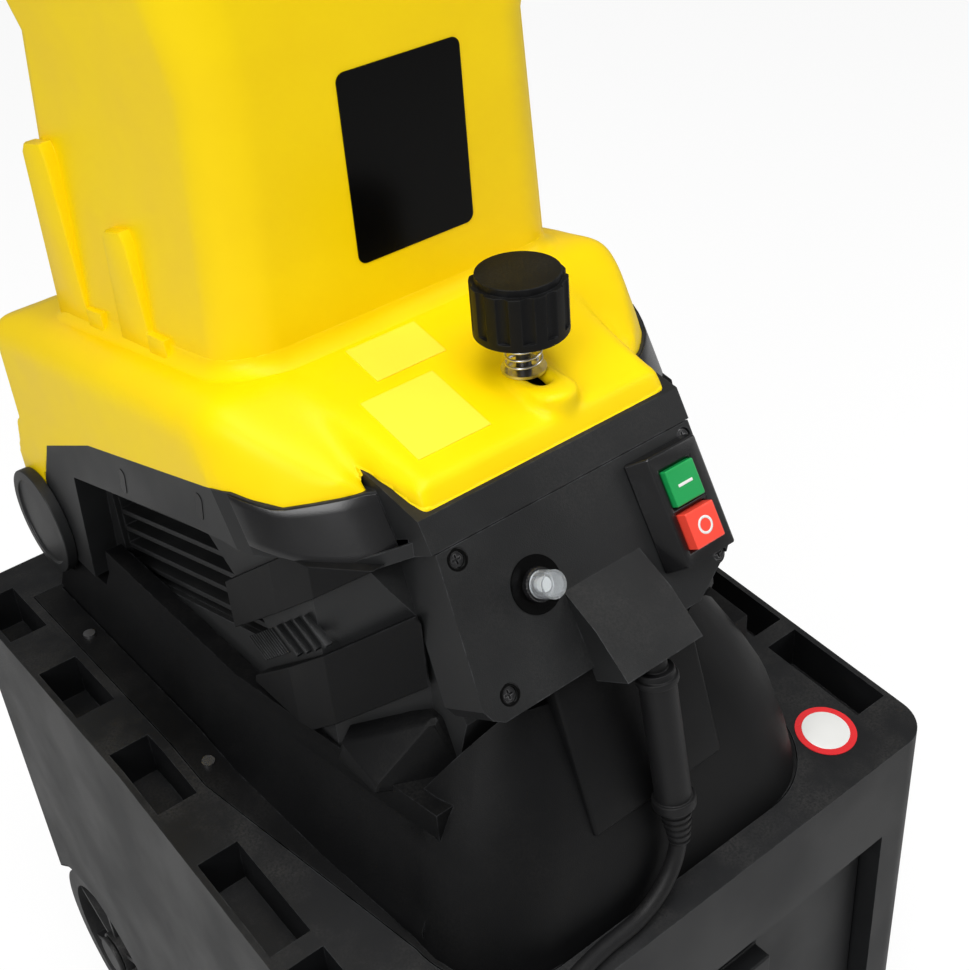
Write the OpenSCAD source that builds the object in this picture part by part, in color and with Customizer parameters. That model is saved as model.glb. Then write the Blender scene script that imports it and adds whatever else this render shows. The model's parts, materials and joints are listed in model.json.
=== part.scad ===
// Electric garden shredder on a wheeled stand with a pull-out collection box.
// Millimetres, +Z up, front towards -Y.  The origin is on the floor, under the middle of the stand.

/* [Stand] */
// Width over the stand's side walls
stand_w = 410; // [400:1:430]
// Length of the stand, front wall to rear wall
stand_l = 520; // [500:1:560]
// Height of the flat rim above the floor
rim_z = 400; // [395:1:410]
// How far the front edge lies below the flat rim
front_drop = 35; // [25:1:40]
// Thickness of the stand's walls
stand_wall = 4; // [3:0.5:5]
// Width of one rim pocket
pocket_w = 26; // [18:1:28]
// Depth of the rim pockets
pocket_depth = 30; // [15:1:40]
// Height of the rubber front feet
foot_h = 14; // [10:1:18]

/* [Wheels] */
// Wheel diameter
wheel_d = 150; // [130:1:154]
// Wheel width
wheel_w = 28; // [20:1:30]
// Axle diameter
axle_d = 12; // [8:0.5:14]
// Clearance of each wheel's bore on the axle, on radius
wheel_fit = 0.08; // [0.02:0.01:0.1]

/* [Collection box] */
// Height of the box
box_h = 204; // [150:1:206]
// Thickness of the box walls
box_wall = 3; // [2:0.5:5]
// Width of the grip on the box front
grip_w = 130; // [90:1:200]

/* [Housing] */
// Width of the motor housing between its side faces
housing_w = 244; // [236:1:250]
// Width over the two side wings of the motor housing
wing_w = 282; // [276:1:290]
// Wall thickness of the black housings
housing_wall = 3.5; // [2.5:0.25:4.5]
// Number of slats in each side vent
slat_count = 5; // [3:1:6]
// Thickness of a vent slat
slat_t = 4; // [2:0.5:5]

/* [Cover and hopper] */
// Wall thickness of the yellow cover
cover_wall = 3; // [2:0.25:4]
// Width of the hopper at its foot
hopper_w = 228; // [210:1:236]
// Width of the hopper at its waist
waist_w = 204; // [190:1:220]
// Width of the hopper at its mouth
mouth_w = 290; // [250:1:310]
// Height of the hopper's mouth above the floor
mouth_z = 1010; // [940:1:1060]
// Length of the feed slot above the disc
feed_l = 62; // [50:1:64]
// Width of the feed slot above the disc
feed_w = 92; // [70:1:110]
// Diameter of the cover's two hinge pins
hinge_pin_d = 12; // [8:0.5:14]
// Clearance of the cover's ears on the hinge pins, on radius
hinge_fit = 0.08; // [0.02:0.01:0.1]

/* [Cover lock] */
// Sideways place of the lock knob
lock_x = 17; // [10:1:24]
// Knob diameter
knob_d = 50; // [40:1:56]
// Knob height
knob_h = 33; // [25:1:40]
// Length of the free spring under the knob
spring_l = 19.5; // [17:0.5:24]
// Diameter of the lock bolt
bolt_d = 8; // [6:0.5:8]
// Diameter of the spring's wire
spring_wire = 1.6; // [1.2:0.1:2]
// How far the knob can be pressed down
lock_travel = 10; // [6:0.5:11]

/* [Control box] */
// Lean of the control panel from upright, in degrees
panel_tilt = 30; // [28:1:32]
// Depth of the control box behind its face
control_depth = 38; // [36:1:40]
// Edge length of the two switch buttons
button_size = 20; // [17:0.5:21]
// Travel of the switch buttons
button_travel = 3; // [2:0.25:4]
// Diameter of the breaker's round plate
breaker_plate_d = 30; // [26:1:34]
// Travel of the breaker's reset button
reset_travel = 2; // [1:0.25:2.5]

/* [Cutter] */
// Lean of the motor axis, in degrees
axis_tilt = 24; // [22:1:25]
// Diameter of the cutter disc
disc_d = 170; // [160:1:172]
// Thickness of the cutter disc
disc_t = 6; // [4:0.5:8]
// Clearance between the disc's edge and the chamber wall
disc_gap = 4; // [3:0.5:6]
// Thickness of the knives
blade_t = 4; // [3:0.5:5]
// Diameter of the motor shaft
shaft_d = 15; // [12:0.5:17]
// Clearance of the shaft in its bearings, on radius
shaft_fit = 0.05; // [0.02:0.01:0.1]

/* [Motor] */
// Outer diameter of the motor case
motor_d = 124; // [116:1:126]
// Length of the motor case
motor_l = 140; // [136:1:146]
// Length of the stator and rotor cores
core_l = 50; // [40:1:54]
// Outer diameter of the rotor
rotor_d = 60; // [50:1:64]
// Air gap between the rotor and the stator
air_gap = 1; // [0.5:0.1:2]

/* [Cord] */
// Diameter of the power cord
cord_d = 9.5; // [7:0.5:11]
// Diameter of the strain relief sleeve
sleeve_d = 20; // [16:0.5:22]

/* [Hidden] */
$fn = 64;
eps = 0.01;

// Stand
stand_hw = stand_w / 2;
stand_hl = stand_l / 2;
slope_end_y = 18;           // where the rim stops rising
front_edge_z = rim_z - front_drop;
stand_corner_r = 22;
stand_foot_z = 45;          // underside of the side walls
stand_rear_z = 82;          // underside of the walls beside the wheels
leg_l = 48;                 // length of each front leg
axle_y = stand_hl - wheel_d / 2 - 5;
axle_z = wheel_d / 2;
wheel_arch_gap = 8;
wheel_gap = 2.5;            // between a wheel and the channel wall
cap_t = 4;
cap_gap = 0.3;
channel_hw = stand_hw - 2 * cap_gap - cap_t - wheel_w - wheel_gap - stand_wall;
rail_z = axle_z + axle_d / 2 + 1;
rail_t = 4;
rail_w = 16;
apron_z = rail_z + rail_t + box_h + 4;
pocket_spans = [[-226, -152], [-140, -66], [-22, 37], [81, 137], [181, 237]];
pocket_x = 188;
cup_wall = 2;
recess_d = 4;               // depth of the recess that the housing's flange lies in
flange_gap = 0.6;
top_wall = recess_d + stand_wall;
rim_slope = atan(front_drop / (slope_end_y + stand_hl));

// Housing flange, seen from above
flange_front = -240;
flange_rear = 216;
flange_front_hw = 137;
flange_hw = 168;
flange_r = 55;
flange_widen_y = -20;

// Lower housing: sections of its front barrel [height, half width, front, corner radius], and its skirt
barrel = [[345, 137, -242.5, 55], [374, 134, -239.5, 55], [400, 129.5, -235.5, 55], [433, 121, -228, 54],
    [455, 111, -220, 52], [470, 103, -214, 50], [490, 92, -205.5, 47], [504, 84, -199, 44]];
barrel_rear = -110;
barrel_top = barrel[len(barrel) - 1][0];
skirt_z = 460;
skirt_foot_z = 385;
skirt_top_hw = 134;
skirt_foot_hw = 152;
skirt_front = [133, -186];
well_front = -182;
seat_z = 430;               // the motor housing stands here

// Panel frame: top edge of the control panel on the machine's middle plane
panel_y = -156.3;
panel_z = 616.6;
band_w = 18.2;              // black band above the control box
seam = 0.4;
control_bottom = 108;
control_wall = 3;

// Motor housing outline, from front to rear
seam_line = [[-101, 626.6], [105, 564.6], [181, 529.6], [203, 493]];
side_seam = [[-121, 617.6], [-93, 610.6], [-68, 614.8], [-56, 613.05]];    // beside the deck
lid_gap = 0.6;
housing_hw = housing_w / 2;
wing_hw = wing_w / 2;
housing_rear = 203;

// Cover outline
deck_front = [-149.5, 628.4];
deck_rear = [-43, 655];
ledge_rear = [207, 611];
cover_rear = 244;
deck_slope = atan((deck_rear[1] - deck_front[1]) / (deck_rear[0] - deck_front[0]));
deck_foot_hw = 86;          // half width of the raised deck at its foot
deck_flank = 0.38;          // lean of the deck's flanks
shoulder_top = [-60.7, 650.6];
shoulder_slope = 27.2;
side_r = 22;                // rounding of the cover's side edges
corner_z = 611;             // leaning front corner beside the deck: [x, y] in its own frame
corner_low = -84;
corner_line = [[deck_foot_hw, -110], [98, -103.5], [110, -94], [122, -82.5], [wing_hw - 10, -72],
    [wing_hw - 3, -60], [wing_hw + 0.5, -48]];
hopper_front = -43;
hopper_rear = 190;
waist_z = 792;
waist_rear = 172;
mouth_front = -66;
mouth_rear = 224;
mouth_lip = 8;
funnel_z = 606;
throat_y = [-20, feed_l - 20];

// Hinge of the cover
hinge_y = 216;
hinge_z = 455;
ear_r = 25;
hinge_cap_d = 76;

// Cover lock
lock_y = -115;
boss_z = 640;
boss_r = 13;
boss_front = -137.5;
washer_t = 1.5;
seat_t = 1.5;
turn_gap = 0.3;
spring_z0 = boss_z + washer_t;
seat_z0 = spring_z0 + spring_l;
knob_z0 = seat_z0 + seat_t + turn_gap;
spring_r = 9.6;
spring_turns = 4;
nut_top = boss_z - 13;
nut_l = 16;
bolt_clear = 2;             // between the raised bolt and the nut
slot_gap = 0.5;

// Cutter frame: centre of the disc's top face
disc_y = -12;
disc_z = 570;
hub_gap = 1;
hub_l = 9;
hub_r = 20;
floor_t = 4;
floor_z = -disc_t - hub_l - hub_gap - floor_t;
shelf_t = 6;
chamber_r = disc_d / 2 + disc_gap;
chamber_wall = 4;
chamber_h = 14;
eject_y = 66;
eject_hw = 48;
counter_gap = 1;
counter_t = 6;
throat_gap = 1.5;
throat_z = blade_t + counter_gap + counter_t + throat_gap;

// Motor, along its axis from the case's top downwards
motor_r = motor_d / 2;
case_wall = 3.5;
case_lid = 6;
case_top = floor_z;
bearing_r = 17.5;
bearing_l = 11;
fan_top = case_top - case_lid - 9;
fan_l = 9;
winding_l = 12;
winding_top = fan_top - fan_l - 2;
core_top = winding_top - winding_l;
core_bot = core_top - core_l;
winding_bot = core_bot - winding_l;
commutator_r = 14;
commutator_l = 13;
case_bot = case_top - motor_l;
cap_floor = 4;

// Switch and breaker on the panel: [x, distance down the panel]
switch_x = 57.5;
green_w = 44;
red_w = 68;
frame_h = 12;
button_gap = 0.5;
green_h = 15;
red_h = 18;
switch_well = 13;
switch_depth = 33;
breaker_at = [-39, 55.6];
neck_r = 5.5;
nut_h = 4.5;
reset_r = 3.8;
boot_r = 7.3;
boot_wall = 1.2;
boot_h = 11;
control_screw_at = [[-74, 25.5], [-76, 97], [79, 25.5], [73, 91]];
hood_hw = 26;
hood_w = [66, 88, 116];
hood_h = [0, 14, 24];

// Sleeve and cord
sleeve_top = [0, -227.5, 515];
sleeve_end = [0, -241, 430];
sleeve_l = norm(sleeve_end - sleeve_top);
sleeve_dir = (sleeve_end - sleeve_top) / sleeve_l;
sleeve_lean = atan2(-sleeve_dir[1], -sleeve_dir[2]);
sleeve_neck_r = 6.5;
cord_r = cord_d / 2;
cord_bend = 40;             // radius of the cord's bends
cord_lay_z = 372;           // the cord lies on the stand's front edge
cord_hang_x = -188;         // and hangs down beside the box
cord_hang_y = -268;
cord_route = concat([sleeve_end, sleeve_end + 12 * sleeve_dir],
    [for (t = [0:15:90]) [cord_bend * (cos(t) - 1), -243.8 - 5.5 * t / 90,
        cord_lay_z + cord_bend * (1 - sin(t))]],
    [[-60, -250, 372], [-80, -252.5, 372], [-100, -257, 371.8], [-120, -262, 371.5], [-136, -266, 371.2]],
    [for (t = [0:15:90]) [cord_hang_x + cord_bend * (1 - sin(t)), cord_hang_y,
        371 - cord_bend * (1 - cos(t))]],
    [[cord_hang_x, -268, 316], [cord_hang_x, -269, 300], [cord_hang_x, -272, 280], [cord_hang_x, -276.5, 260],
    [cord_hang_x, -280, 242], [cord_hang_x, -281, 230], [cord_hang_x, -281, 220]]);
cord_end = cord_route[len(cord_route) - 1];
plug_l = 52;
plug_d = 38;

function rim_at(y) = rim_z - max(slope_end_y - y, 0) * front_drop / (slope_end_y + stand_hl);
function top_line(d) = [[-stand_hl - 1, rim_at(-stand_hl - 1) - d], [slope_end_y, rim_z - d],
    [stand_hl + 1, rim_z - d]];
function reversed(v) = [for (i = [len(v) - 1:-1:0]) v[i]];
function z_on(p, q, y) = p[1] + (q[1] - p[1]) * (y - p[0]) / (q[0] - p[0]);
function deck_z(y) = z_on(deck_front, deck_rear, y);
under_front = deck_front + [1.2, -cover_wall];
under_rear = deck_rear + [0, -cover_wall];
function under_deck(y) = z_on(under_front, under_rear, y);
function shift(points, dy, dz) = [for (p = points) [p[0] + dy, p[1] + dz]];
function on_panel(w, h = 0) = [panel_y - w * sin(panel_tilt) - h * cos(panel_tilt),
    panel_z - w * cos(panel_tilt) + h * sin(panel_tilt)];
function on_cutter(y, z) = [disc_y + y * cos(axis_tilt) + z * sin(axis_tilt),
    disc_z - y * sin(axis_tilt) + z * cos(axis_tilt)];

// A side outline [y, z] drawn out sideways
module side_prism(points, half_w, x = 0) {
    translate([x - half_w, 0, 0]) rotate([90, 0, 90]) linear_extrude(2 * half_w) polygon(points);
}
module plan_prism(z0, z1) {
    translate([0, 0, z0]) linear_extrude(z1 - z0) children();
}
module rounded_rect(w, l, r) {
    square([w - 2 * r, l], center = true);
    square([w, l - 2 * r], center = true);
    for (x = [-1, 1], y = [-1, 1]) translate([x * (w / 2 - r), y * (l / 2 - r)]) circle(r);
}
module block(x, y, z) {
    translate([x[0], y[0], z[0]]) cube([x[1] - x[0], y[1] - y[0], z[1] - z[0]]);
}
module both_sides() {
    children();
    mirror([1, 0, 0]) children();
}
module rim_band(d0, d1, half_w) {
    side_prism(concat(top_line(d0), reversed(top_line(d1))), half_w);
}
// x to the right, y up the panel, z out of it
module at_panel() {
    translate([0, panel_y, panel_z]) rotate([90 - panel_tilt, 0, 0]) children();
}
// z along the motor axis, 0 on the disc's top face
module at_cutter() {
    translate([0, disc_y, disc_z]) rotate([-axis_tilt, 0, 0]) children();
}
module at_deck(x, y) {
    translate([x, y, deck_z(y)]) rotate([deck_slope, 0, 0]) children();
}
module tube(r, bore, z0, z1) {
    translate([0, 0, z0]) difference() {
        cylinder(r = r, h = z1 - z0);
        translate([0, 0, -1]) cylinder(r = bore, h = z1 - z0 + 2);
    }
}
module rod(r, z0, z1) {
    translate([0, 0, z0]) cylinder(r = r, h = z1 - z0);
}
module x_rod(r, x0, x1) {
    translate([x0, 0, 0]) rotate([0, 90, 0]) cylinder(r = r, h = x1 - x0);
}

// ---- Stand ----
stand_bottom = [[stand_hl, stand_rear_z], [axle_y - 78, stand_rear_z], [axle_y - 100, stand_foot_z],
    [-stand_hl + leg_l + 20, stand_foot_z], [-stand_hl + leg_l, foot_h],
    [-stand_hl, foot_h]];
module stand_solid(inset, drop, below) {
    intersection() {
        side_prism(concat(top_line(drop), shift(stand_bottom, 0, -below)), stand_hw - inset);
        plan_prism(-5, rim_z + 5)
            rounded_rect(stand_w - 2 * inset, stand_l - 2 * inset, stand_corner_r - inset);
    }
}
module flange_outline(grow) {
    side = flange_front_hw - flange_r;
    polygon([[-side, flange_front - grow], [side, flange_front - grow],
        [flange_front_hw + grow, flange_front + flange_r], [flange_hw + grow, flange_widen_y],
        [flange_hw + grow, flange_rear + grow], [-flange_hw - grow, flange_rear + grow],
        [-flange_hw - grow, flange_widen_y], [-flange_front_hw - grow, flange_front + flange_r]]);
    for (x = [-1, 1]) translate([x * side, flange_front + flange_r]) circle(flange_r + grow);
}
module channel_wall() {
    intersection() {
        rim_band(top_wall - eps, 600, stand_hw);
        block([channel_hw, channel_hw + stand_wall], [-stand_hl + 1, stand_hl - 1], [stand_foot_z, rim_z]);
    }
    block([channel_hw - rail_w, channel_hw + eps], [-stand_hl + stand_wall, stand_hl - stand_wall],
        [rail_z, rail_z + rail_t]);
}
module pocket(span, grow, depth) {
    intersection() {
        rim_band(-1, depth, stand_hw);
        block([pocket_x - pocket_w / 2 - grow, pocket_x + pocket_w / 2 + grow],
            [span[0] - grow, span[1] + grow], [0, rim_z + 2]);
    }
}
module chassis() {
    color("#26282b") difference() {
        union() {
            difference() {
                stand_solid(0, 0, 0);
                stand_solid(stand_wall, top_wall, 60);
            }
            both_sides() channel_wall();
            both_sides() intersection() {
                for (s = pocket_spans) pocket(s, cup_wall, pocket_depth + cup_wall);
                stand_solid(1, 1, 0);
            }
            both_sides() block([stand_hw - 34, stand_hw - 1], [-stand_hl + 8, -stand_hl + leg_l - 4],
                [foot_h, foot_h + 12]);
        }
        both_sides() for (s = pocket_spans) pocket(s, 0, pocket_depth);
        intersection() {
            rim_band(-2, recess_d, stand_hw);
            plan_prism(0, rim_z + 5) flange_outline(flange_gap);
        }
        block([-120, 120], [-212, 190], [rim_z - 80, rim_z + 1]);
        block([-channel_hw, channel_hw], [-stand_hl - 1, -stand_hl + 20], [rail_z - 2, apron_z]);
        both_sides() translate([channel_hw + stand_wall, axle_y, axle_z])
            x_rod(wheel_d / 2 + wheel_arch_gap, 0, 60);
        translate([0, axle_y, axle_z]) x_rod(axle_d / 2, -stand_hw, stand_hw);
        for (p = flange_screw_at) at_rim(p) rod(flange_screw_d / 2, -top_wall - 1, 1);
    }
}
module front_feet() {
    color("#1b1b1c") both_sides()
        block([stand_hw - 33, stand_hw - 3], [-stand_hl + 9, -stand_hl + leg_l - 6], [0, foot_h]);
}
module axle() {
    color("silver") translate([0, axle_y, axle_z])
        x_rod(axle_d / 2, -stand_hw + cap_gap + 1, stand_hw - cap_gap - 1);
}
module wheel() {
    x0 = channel_hw + stand_wall + wheel_gap;
    translate([x0, axle_y, axle_z]) rotate([0, 90, 0]) difference() {
        union() {
            tube(wheel_d / 2, wheel_d / 2 - 14, 0, wheel_w);
            rod(wheel_d / 2 - 12, wheel_w / 2 - 3, wheel_w / 2 + 3);
            rod(18, 0, wheel_w);
            for (a = [0:60:300]) rotate([0, 0, a])
                block([16, wheel_d / 2 - 12], [-2, 2], [3, wheel_w - 3]);
        }
        rod(axle_d / 2 + wheel_fit, -1, wheel_w + 1);
    }
}
module wheel_left() {
    color("#1e1f21") mirror([1, 0, 0]) wheel();
}
module wheel_right() {
    color("#1e1f21") wheel();
}
module hub_caps() {
    x0 = channel_hw + stand_wall + wheel_gap + wheel_w + cap_gap;
    color("#303236") both_sides() translate([x0, axle_y, axle_z]) rotate([0, 90, 0]) difference() {
        rod(16, 0, cap_t);
        rod(axle_d / 2, -1, stand_hw - cap_gap - 1 - x0);
    }
}
box_front = -stand_hl + 14;
box_rear = stand_hl - stand_wall - 36;
box_hw = channel_hw - 1.5;
box_z0 = rail_z + rail_t + 0.3;
module collection_box() {
    color("#26282b") {
        difference() {
            block([-box_hw, box_hw], [box_front, box_rear], [box_z0, box_z0 + box_h]);
            block([-box_hw + box_wall, box_hw - box_wall], [box_front + box_wall, box_rear - box_wall],
                [box_z0 + box_wall, box_z0 + box_h + 1]);
        }
        block([-grip_w / 2, grip_w / 2], [box_front - 13, box_front + eps],
            [box_z0 + box_h - 30, box_z0 + box_h - 26]);
        block([-grip_w / 2, grip_w / 2], [box_front - 13, box_front - 9],
            [box_z0 + box_h - 42, box_z0 + box_h - 26]);
    }
}

// ---- Lower housing ----
skirt_taper = atan((skirt_foot_hw - skirt_front[0]) / (flange_widen_y - skirt_front[1]));
function barrel_corner(v, i) = let (r = v[3] - i) [for (k = [0:8])
    [v[1] - v[3] + r * cos(90 * k / 8), v[2] + v[3] - r * sin(90 * k / 8), v[0]]];
function mirrored(points) = [for (p = reversed(points)) [-p[0], p[1], p[2]]];
function barrel_ring(v, i) = let (side = concat([[v[1] - i, barrel_rear, v[0]]], barrel_corner(v, i)))
    reversed(concat(side, mirrored(side)));
module barrel_body(inset) {
    loft([for (v = barrel) barrel_ring(v, inset)], false);
}
module skirt_profile(inset) {
    polygon([[-400, 300], [-inset, 300], [-inset, skirt_foot_z],
        [skirt_top_hw - skirt_foot_hw - inset, skirt_z - 20],
        [skirt_top_hw - skirt_foot_hw - inset, skirt_z + 40], [-400, skirt_z + 40]]);
}
module skirt_side(inset, turn) {
    translate([skirt_foot_hw, flange_widen_y, 0]) rotate([0, 0, -turn]) translate([0, 400, 0])
        rotate([90, 0, 0]) linear_extrude(800) skirt_profile(inset);
}
module skirt_body(inset) {
    intersection() {
        skirt_side(inset, 0);
        mirror([1, 0, 0]) skirt_side(inset, 0);
        skirt_side(inset, skirt_taper);
        mirror([1, 0, 0]) skirt_side(inset, skirt_taper);
        block([-stand_hw, stand_hw], [skirt_front[1], flange_rear - inset], [300, skirt_z + 1 - inset]);
    }
}
module lower_body(inset) {
    barrel_body(inset);
    skirt_body(inset);
}
lower_outline = [[-stand_hl, rim_at(-stand_hl) - 2], [-stand_hl, barrel_top], [-190, barrel_top],
    [-166, skirt_z + 1], [146, skirt_z], [152, seat_z], [flange_rear, seat_z], [flange_rear, rim_z - 2],
    [slope_end_y, rim_z - 2]];
function lower_inside(t) = [[-stand_hl, 300], [-stand_hl, barrel_top - t], [-190, barrel_top - t],
    [well_front - t - 1, seat_z - t], [flange_rear - t, seat_z - t], [flange_rear - t, 300]];
module lower_plan(inset) {
    corner = [for (p = barrel_corner(barrel[1], inset)) [p[0], p[1]]];
    side = concat([[skirt_foot_hw - inset, flange_rear - inset],
        [skirt_foot_hw - inset, flange_widen_y]], corner);
    polygon(concat(side, [for (p = reversed(side)) [-p[0], p[1]]]));
}
module lower_housing() {
    t = housing_wall;
    color("#232527") difference() {
        union() {
            lower_shell(t);
            lower_flange();
        }
        for (p = flange_screw_at) at_rim(p) rod(flange_screw_d / 2, -recess_d - 1, 1);
        both_sides() translate([0, hinge_y, hinge_z])
            x_rod(hinge_cap_d / 2 + 2, cover_hw - 2, cover_hw + 30);
    }
}
module lower_shell(t) {
    difference() {
        intersection() {
            side_prism(lower_outline, stand_hw);
            lower_body(0);
        }
        intersection() {
            side_prism(lower_inside(t), stand_hw);
            lower_body(t);
        }
        // well that the motor housing stands in
        intersection() {
            plan_prism(seat_z, 520) housing_plan(-0.5);
            block([-stand_hw, stand_hw], [well_front, housing_rear + 0.5], [seat_z, 520]);
        }
        block([-86, 86], [well_front, -140], [barrel_top - 60, 520]);
        block([-housing_hw + 12, housing_hw - 12], [-172, housing_rear - 12], [seat_z - 10, seat_z + 1]);
    }
}
module lower_flange() {
    intersection() {
        rim_band(0, recess_d, stand_hw);
        difference() {
            plan_prism(0, rim_z + 5) flange_outline(0);
            plan_prism(0, rim_z + 6) lower_plan(housing_wall);
        }
    }
}
flange_screw_at = [[-158, -7], [158, -7], [-158, 150], [158, 150]];
flange_screw_d = 4;
module at_rim(p) {
    translate([p[0], p[1], rim_at(p[1])]) rotate([p[1] < slope_end_y ? rim_slope : 0, 0, 0]) children();
}
module housing_screws() {
    color("silver") {
        for (p = flange_screw_at) at_rim(p) {
            rod(flange_screw_d, 0, 2);
            rod(flange_screw_d / 2, -top_wall, 1);
        }
        at_cutter() for (a = chamber_screw_angles) rotate([0, 0, a]) translate([chamber_r - 8, 0, 0]) {
            rod(4.5, floor_z + floor_t, floor_z + floor_t + 3);
            rod(2.5, floor_z, floor_z + floor_t);
        }
    }
}

// ---- Motor housing ----
band_bottom = on_panel(band_w);
back_top = on_panel(band_w, -control_depth);
back_bottom = on_panel(control_bottom + 4, -control_depth);
housing_outline = concat([on_panel(seam)], seam_line, [[housing_rear, seat_z], [-158, seat_z], [-170, 470]],
    [back_bottom, back_top, band_bottom]);
module housing_plan(inset) {
    hw = housing_hw - inset;
    polygon([[-86 + inset, -300], [86 - inset, -300], [86 - inset, -150], [97 - inset, -138], [hw, -108],
        [hw, housing_rear - inset], [-hw, housing_rear - inset], [-hw, -108], [-97 + inset, -138],
        [-86 + inset, -150]]);
}
// Room above the shoulders' seam, and in front of the leaning corner between the deck and the side
module over_seam() {
    side_prism(concat([[-165, 640], [-165, 617.6]], side_seam, [[-56, 640]]), 35, deck_foot_hw + 35);
}
module front_corner(inset) {
    translate([-1.1 * inset, 1.15 * inset, corner_z]) rotate([-panel_tilt, 0, 0])
        translate([0, 0, corner_low]) linear_extrude(200)
        polygon(concat(corner_line, [[160, -48], [160, -260], [deck_foot_hw, -260]]));
}
module housing_solid() {
    difference() {
        intersection() {
            side_prism(housing_outline, housing_hw);
            plan_prism(400, 640) housing_plan(0);
        }
        both_sides() over_seam();
        both_sides() front_corner(0);
    }
}
module housing_cavity() {
    t = housing_wall;
    difference() {
        intersection() {
            side_prism(concat(shift([on_panel(seam)], 2 * t, -t), shift(seam_line, 0, -t),
                [[housing_rear, 400], [-155, 400], [-165, 470]],
                shift([back_bottom, back_top], t, -t), shift([band_bottom], 2 * t, 0)), housing_hw);
            plan_prism(390, 640) housing_plan(t);
        }
        both_sides() translate([-1.2 * t, 0, -t]) over_seam();
        both_sides() front_corner(t);
    }
}
wing_outline = concat([[-150, 617.6]], side_seam, [for (i = [1:3]) seam_line[i]], [[housing_rear, 436],
    [158, 436], [146, 522], [0, 566], [-60, 582], [-100, 587], [-150, 587]]);
module wing_body() {
    side_prism(wing_outline, wing_hw);
}
module wing() {
    difference() {
        intersection() {
            wing_body();
            plan_prism(400, 640) polygon([[housing_hw - 12, -118], [96, -139], [102, -137],
                [wing_hw - 8, -106],
                [wing_hw, -94], [wing_hw, housing_rear], [housing_hw - 12, housing_rear]]);
        }
        block([0, housing_hw - 1], [-200, 300], [400, 640]);
        front_corner(0);
        translate([0, hinge_y, hinge_z]) x_rod(ear_r + 1.5, housing_hw, wing_hw + 1);
    }
}
vent_outline = [[140, 508], [8, 547], [-60, 500], [140, 440]];
grille_frame = vent_outline + [[8, 4], [0, 9], [-10, 0], [8, -9]];
grille_l = 12;
grille_x = housing_hw - housing_wall - grille_l;
// Stepped guards at the front corners: [y, z] of the foot of the rear end, outline of the rear end, height
guard_slope = 38;
guard_rows = [[[-22, 495], [[0, 0], [0, 26]], 26], [[-42, 425], [[0, 0], [-17, 31], [-27, 38]], 38]];
guard_floor = seat_z + 36;
module corner_guards() {
    color("#232527") both_sides() difference() {
        for (g = guard_rows) intersection() {
            translate([90, g[0][0], g[0][1]]) rotate([-guard_slope, 0, 0]) rotate([90, 0, 90])
                linear_extrude(60)
                polygon(concat(g[1], [[-170, g[2]], [-170, 0]]));
            plan_prism(guard_floor, 594) polygon([[100, -14], [housing_hw, -14], [131, -26], [131, -84],
                [125, -114], [102, -142], [88, -158], [80, -158], [80, -60]]);
        }
        plan_prism(400, 640) housing_plan(0);
        both_sides() wing_body();
        control_room();
    }
}
// Room kept for the control box
module control_room() {
    at_panel() translate([0, 0, -control_depth - 0.5]) linear_extrude(control_depth + 30)
        control_outline(-0.5);
}
module ear_plate(r, x0, x1) {
    translate([x0, 0, 0]) rotate([90, 0, 90]) linear_extrude(x1 - x0) {
        translate([hinge_y, hinge_z]) circle(r);
        polygon([[housing_rear - 4, hinge_z + 40], [hinge_y + 6, hinge_z + r - 2], [hinge_y, hinge_z - r],
            [housing_rear - 4, seat_z]]);
    }
}
module motor_housing() {
    color("#232527") difference() {
        union() {
            difference() {
                housing_solid();
                housing_cavity();
            }
            both_sides() wing();
            // bracket behind the safety switch
            intersection() {
                housing_solid();
                block([key_x - 14, key_x + 14], [key_y + 20, key_y + 24], [switch_top - 12, 640]);
            }
            // shelf that carries the chamber and the motor
            intersection() {
                housing_solid();
                at_cutter() block([-housing_hw, housing_hw], [-190, 250], [floor_z - shelf_t, floor_z]);
            }
            // pillar for the lock nut
            translate([lock_x, lock_y, 0]) rod(10.5, nut_top - nut_l - 18, nut_top);
            both_sides() ear_plate(22, housing_hw - housing_wall, housing_hw);
            both_sides() translate([0, hinge_y, hinge_z]) x_rod(14, housing_hw - eps, wing_hw - 4 - 0.4);
        }
        at_cutter() {
            rod(chamber_r + chamber_wall + 0.5, floor_z, 120);
            rod(motor_r + 0.3, -200, floor_z + 1);
            block([-eject_hw - 2, eject_hw + 2], [eject_y - 2, 110], [floor_z - 30, floor_z + 1]);
        }
        translate([lock_x, lock_y, 0]) rod(8, nut_top - nut_l, nut_top + 20);
        translate([lock_x, lock_y, 0]) rod(bolt_d / 2 + 1, nut_top - nut_l - 8, nut_top);
        block(key_hole_x, key_hole_y, [600, 640]);
        both_sides() side_prism(vent_outline, 40, grille_x + 40);
        both_sides() translate([grille_x, 0, 0]) rotate([90, 0, 90]) linear_extrude(grille_l)
            polygon(grille_frame);
        both_sides() translate([0, hinge_y, hinge_z]) x_rod(hinge_pin_d / 2, 0, 200);
        for (p = control_screw_at) at_panel() translate([p[0], -p[1], 0]) rod(1.75, -control_depth - 12, 1);
    }
}
module slat_shape(i) {
    step = 1 / slat_count;
    f = (i + 0.5) * step;
    front = vent_outline[1] * (1 - f) + vent_outline[2] * f;
    rear = vent_outline[0] * (1 - f) + vent_outline[3] * f;
    polygon([front + [0, slat_t / 2], rear + [0, slat_t / 2], rear - [0, slat_t / 2],
        front - [0, slat_t / 2]]);
}
module vent_grille() {
    translate([grille_x, 0, 0]) rotate([90, 0, 90]) linear_extrude(grille_l) {
        difference() {
            polygon(grille_frame);
            polygon(vent_outline);
        }
        for (i = [0:slat_count - 1]) slat_shape(i);
    }
    translate([grille_x, 0, 0]) rotate([90, 0, 90]) linear_extrude(2) polygon(vent_outline);
}
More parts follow.
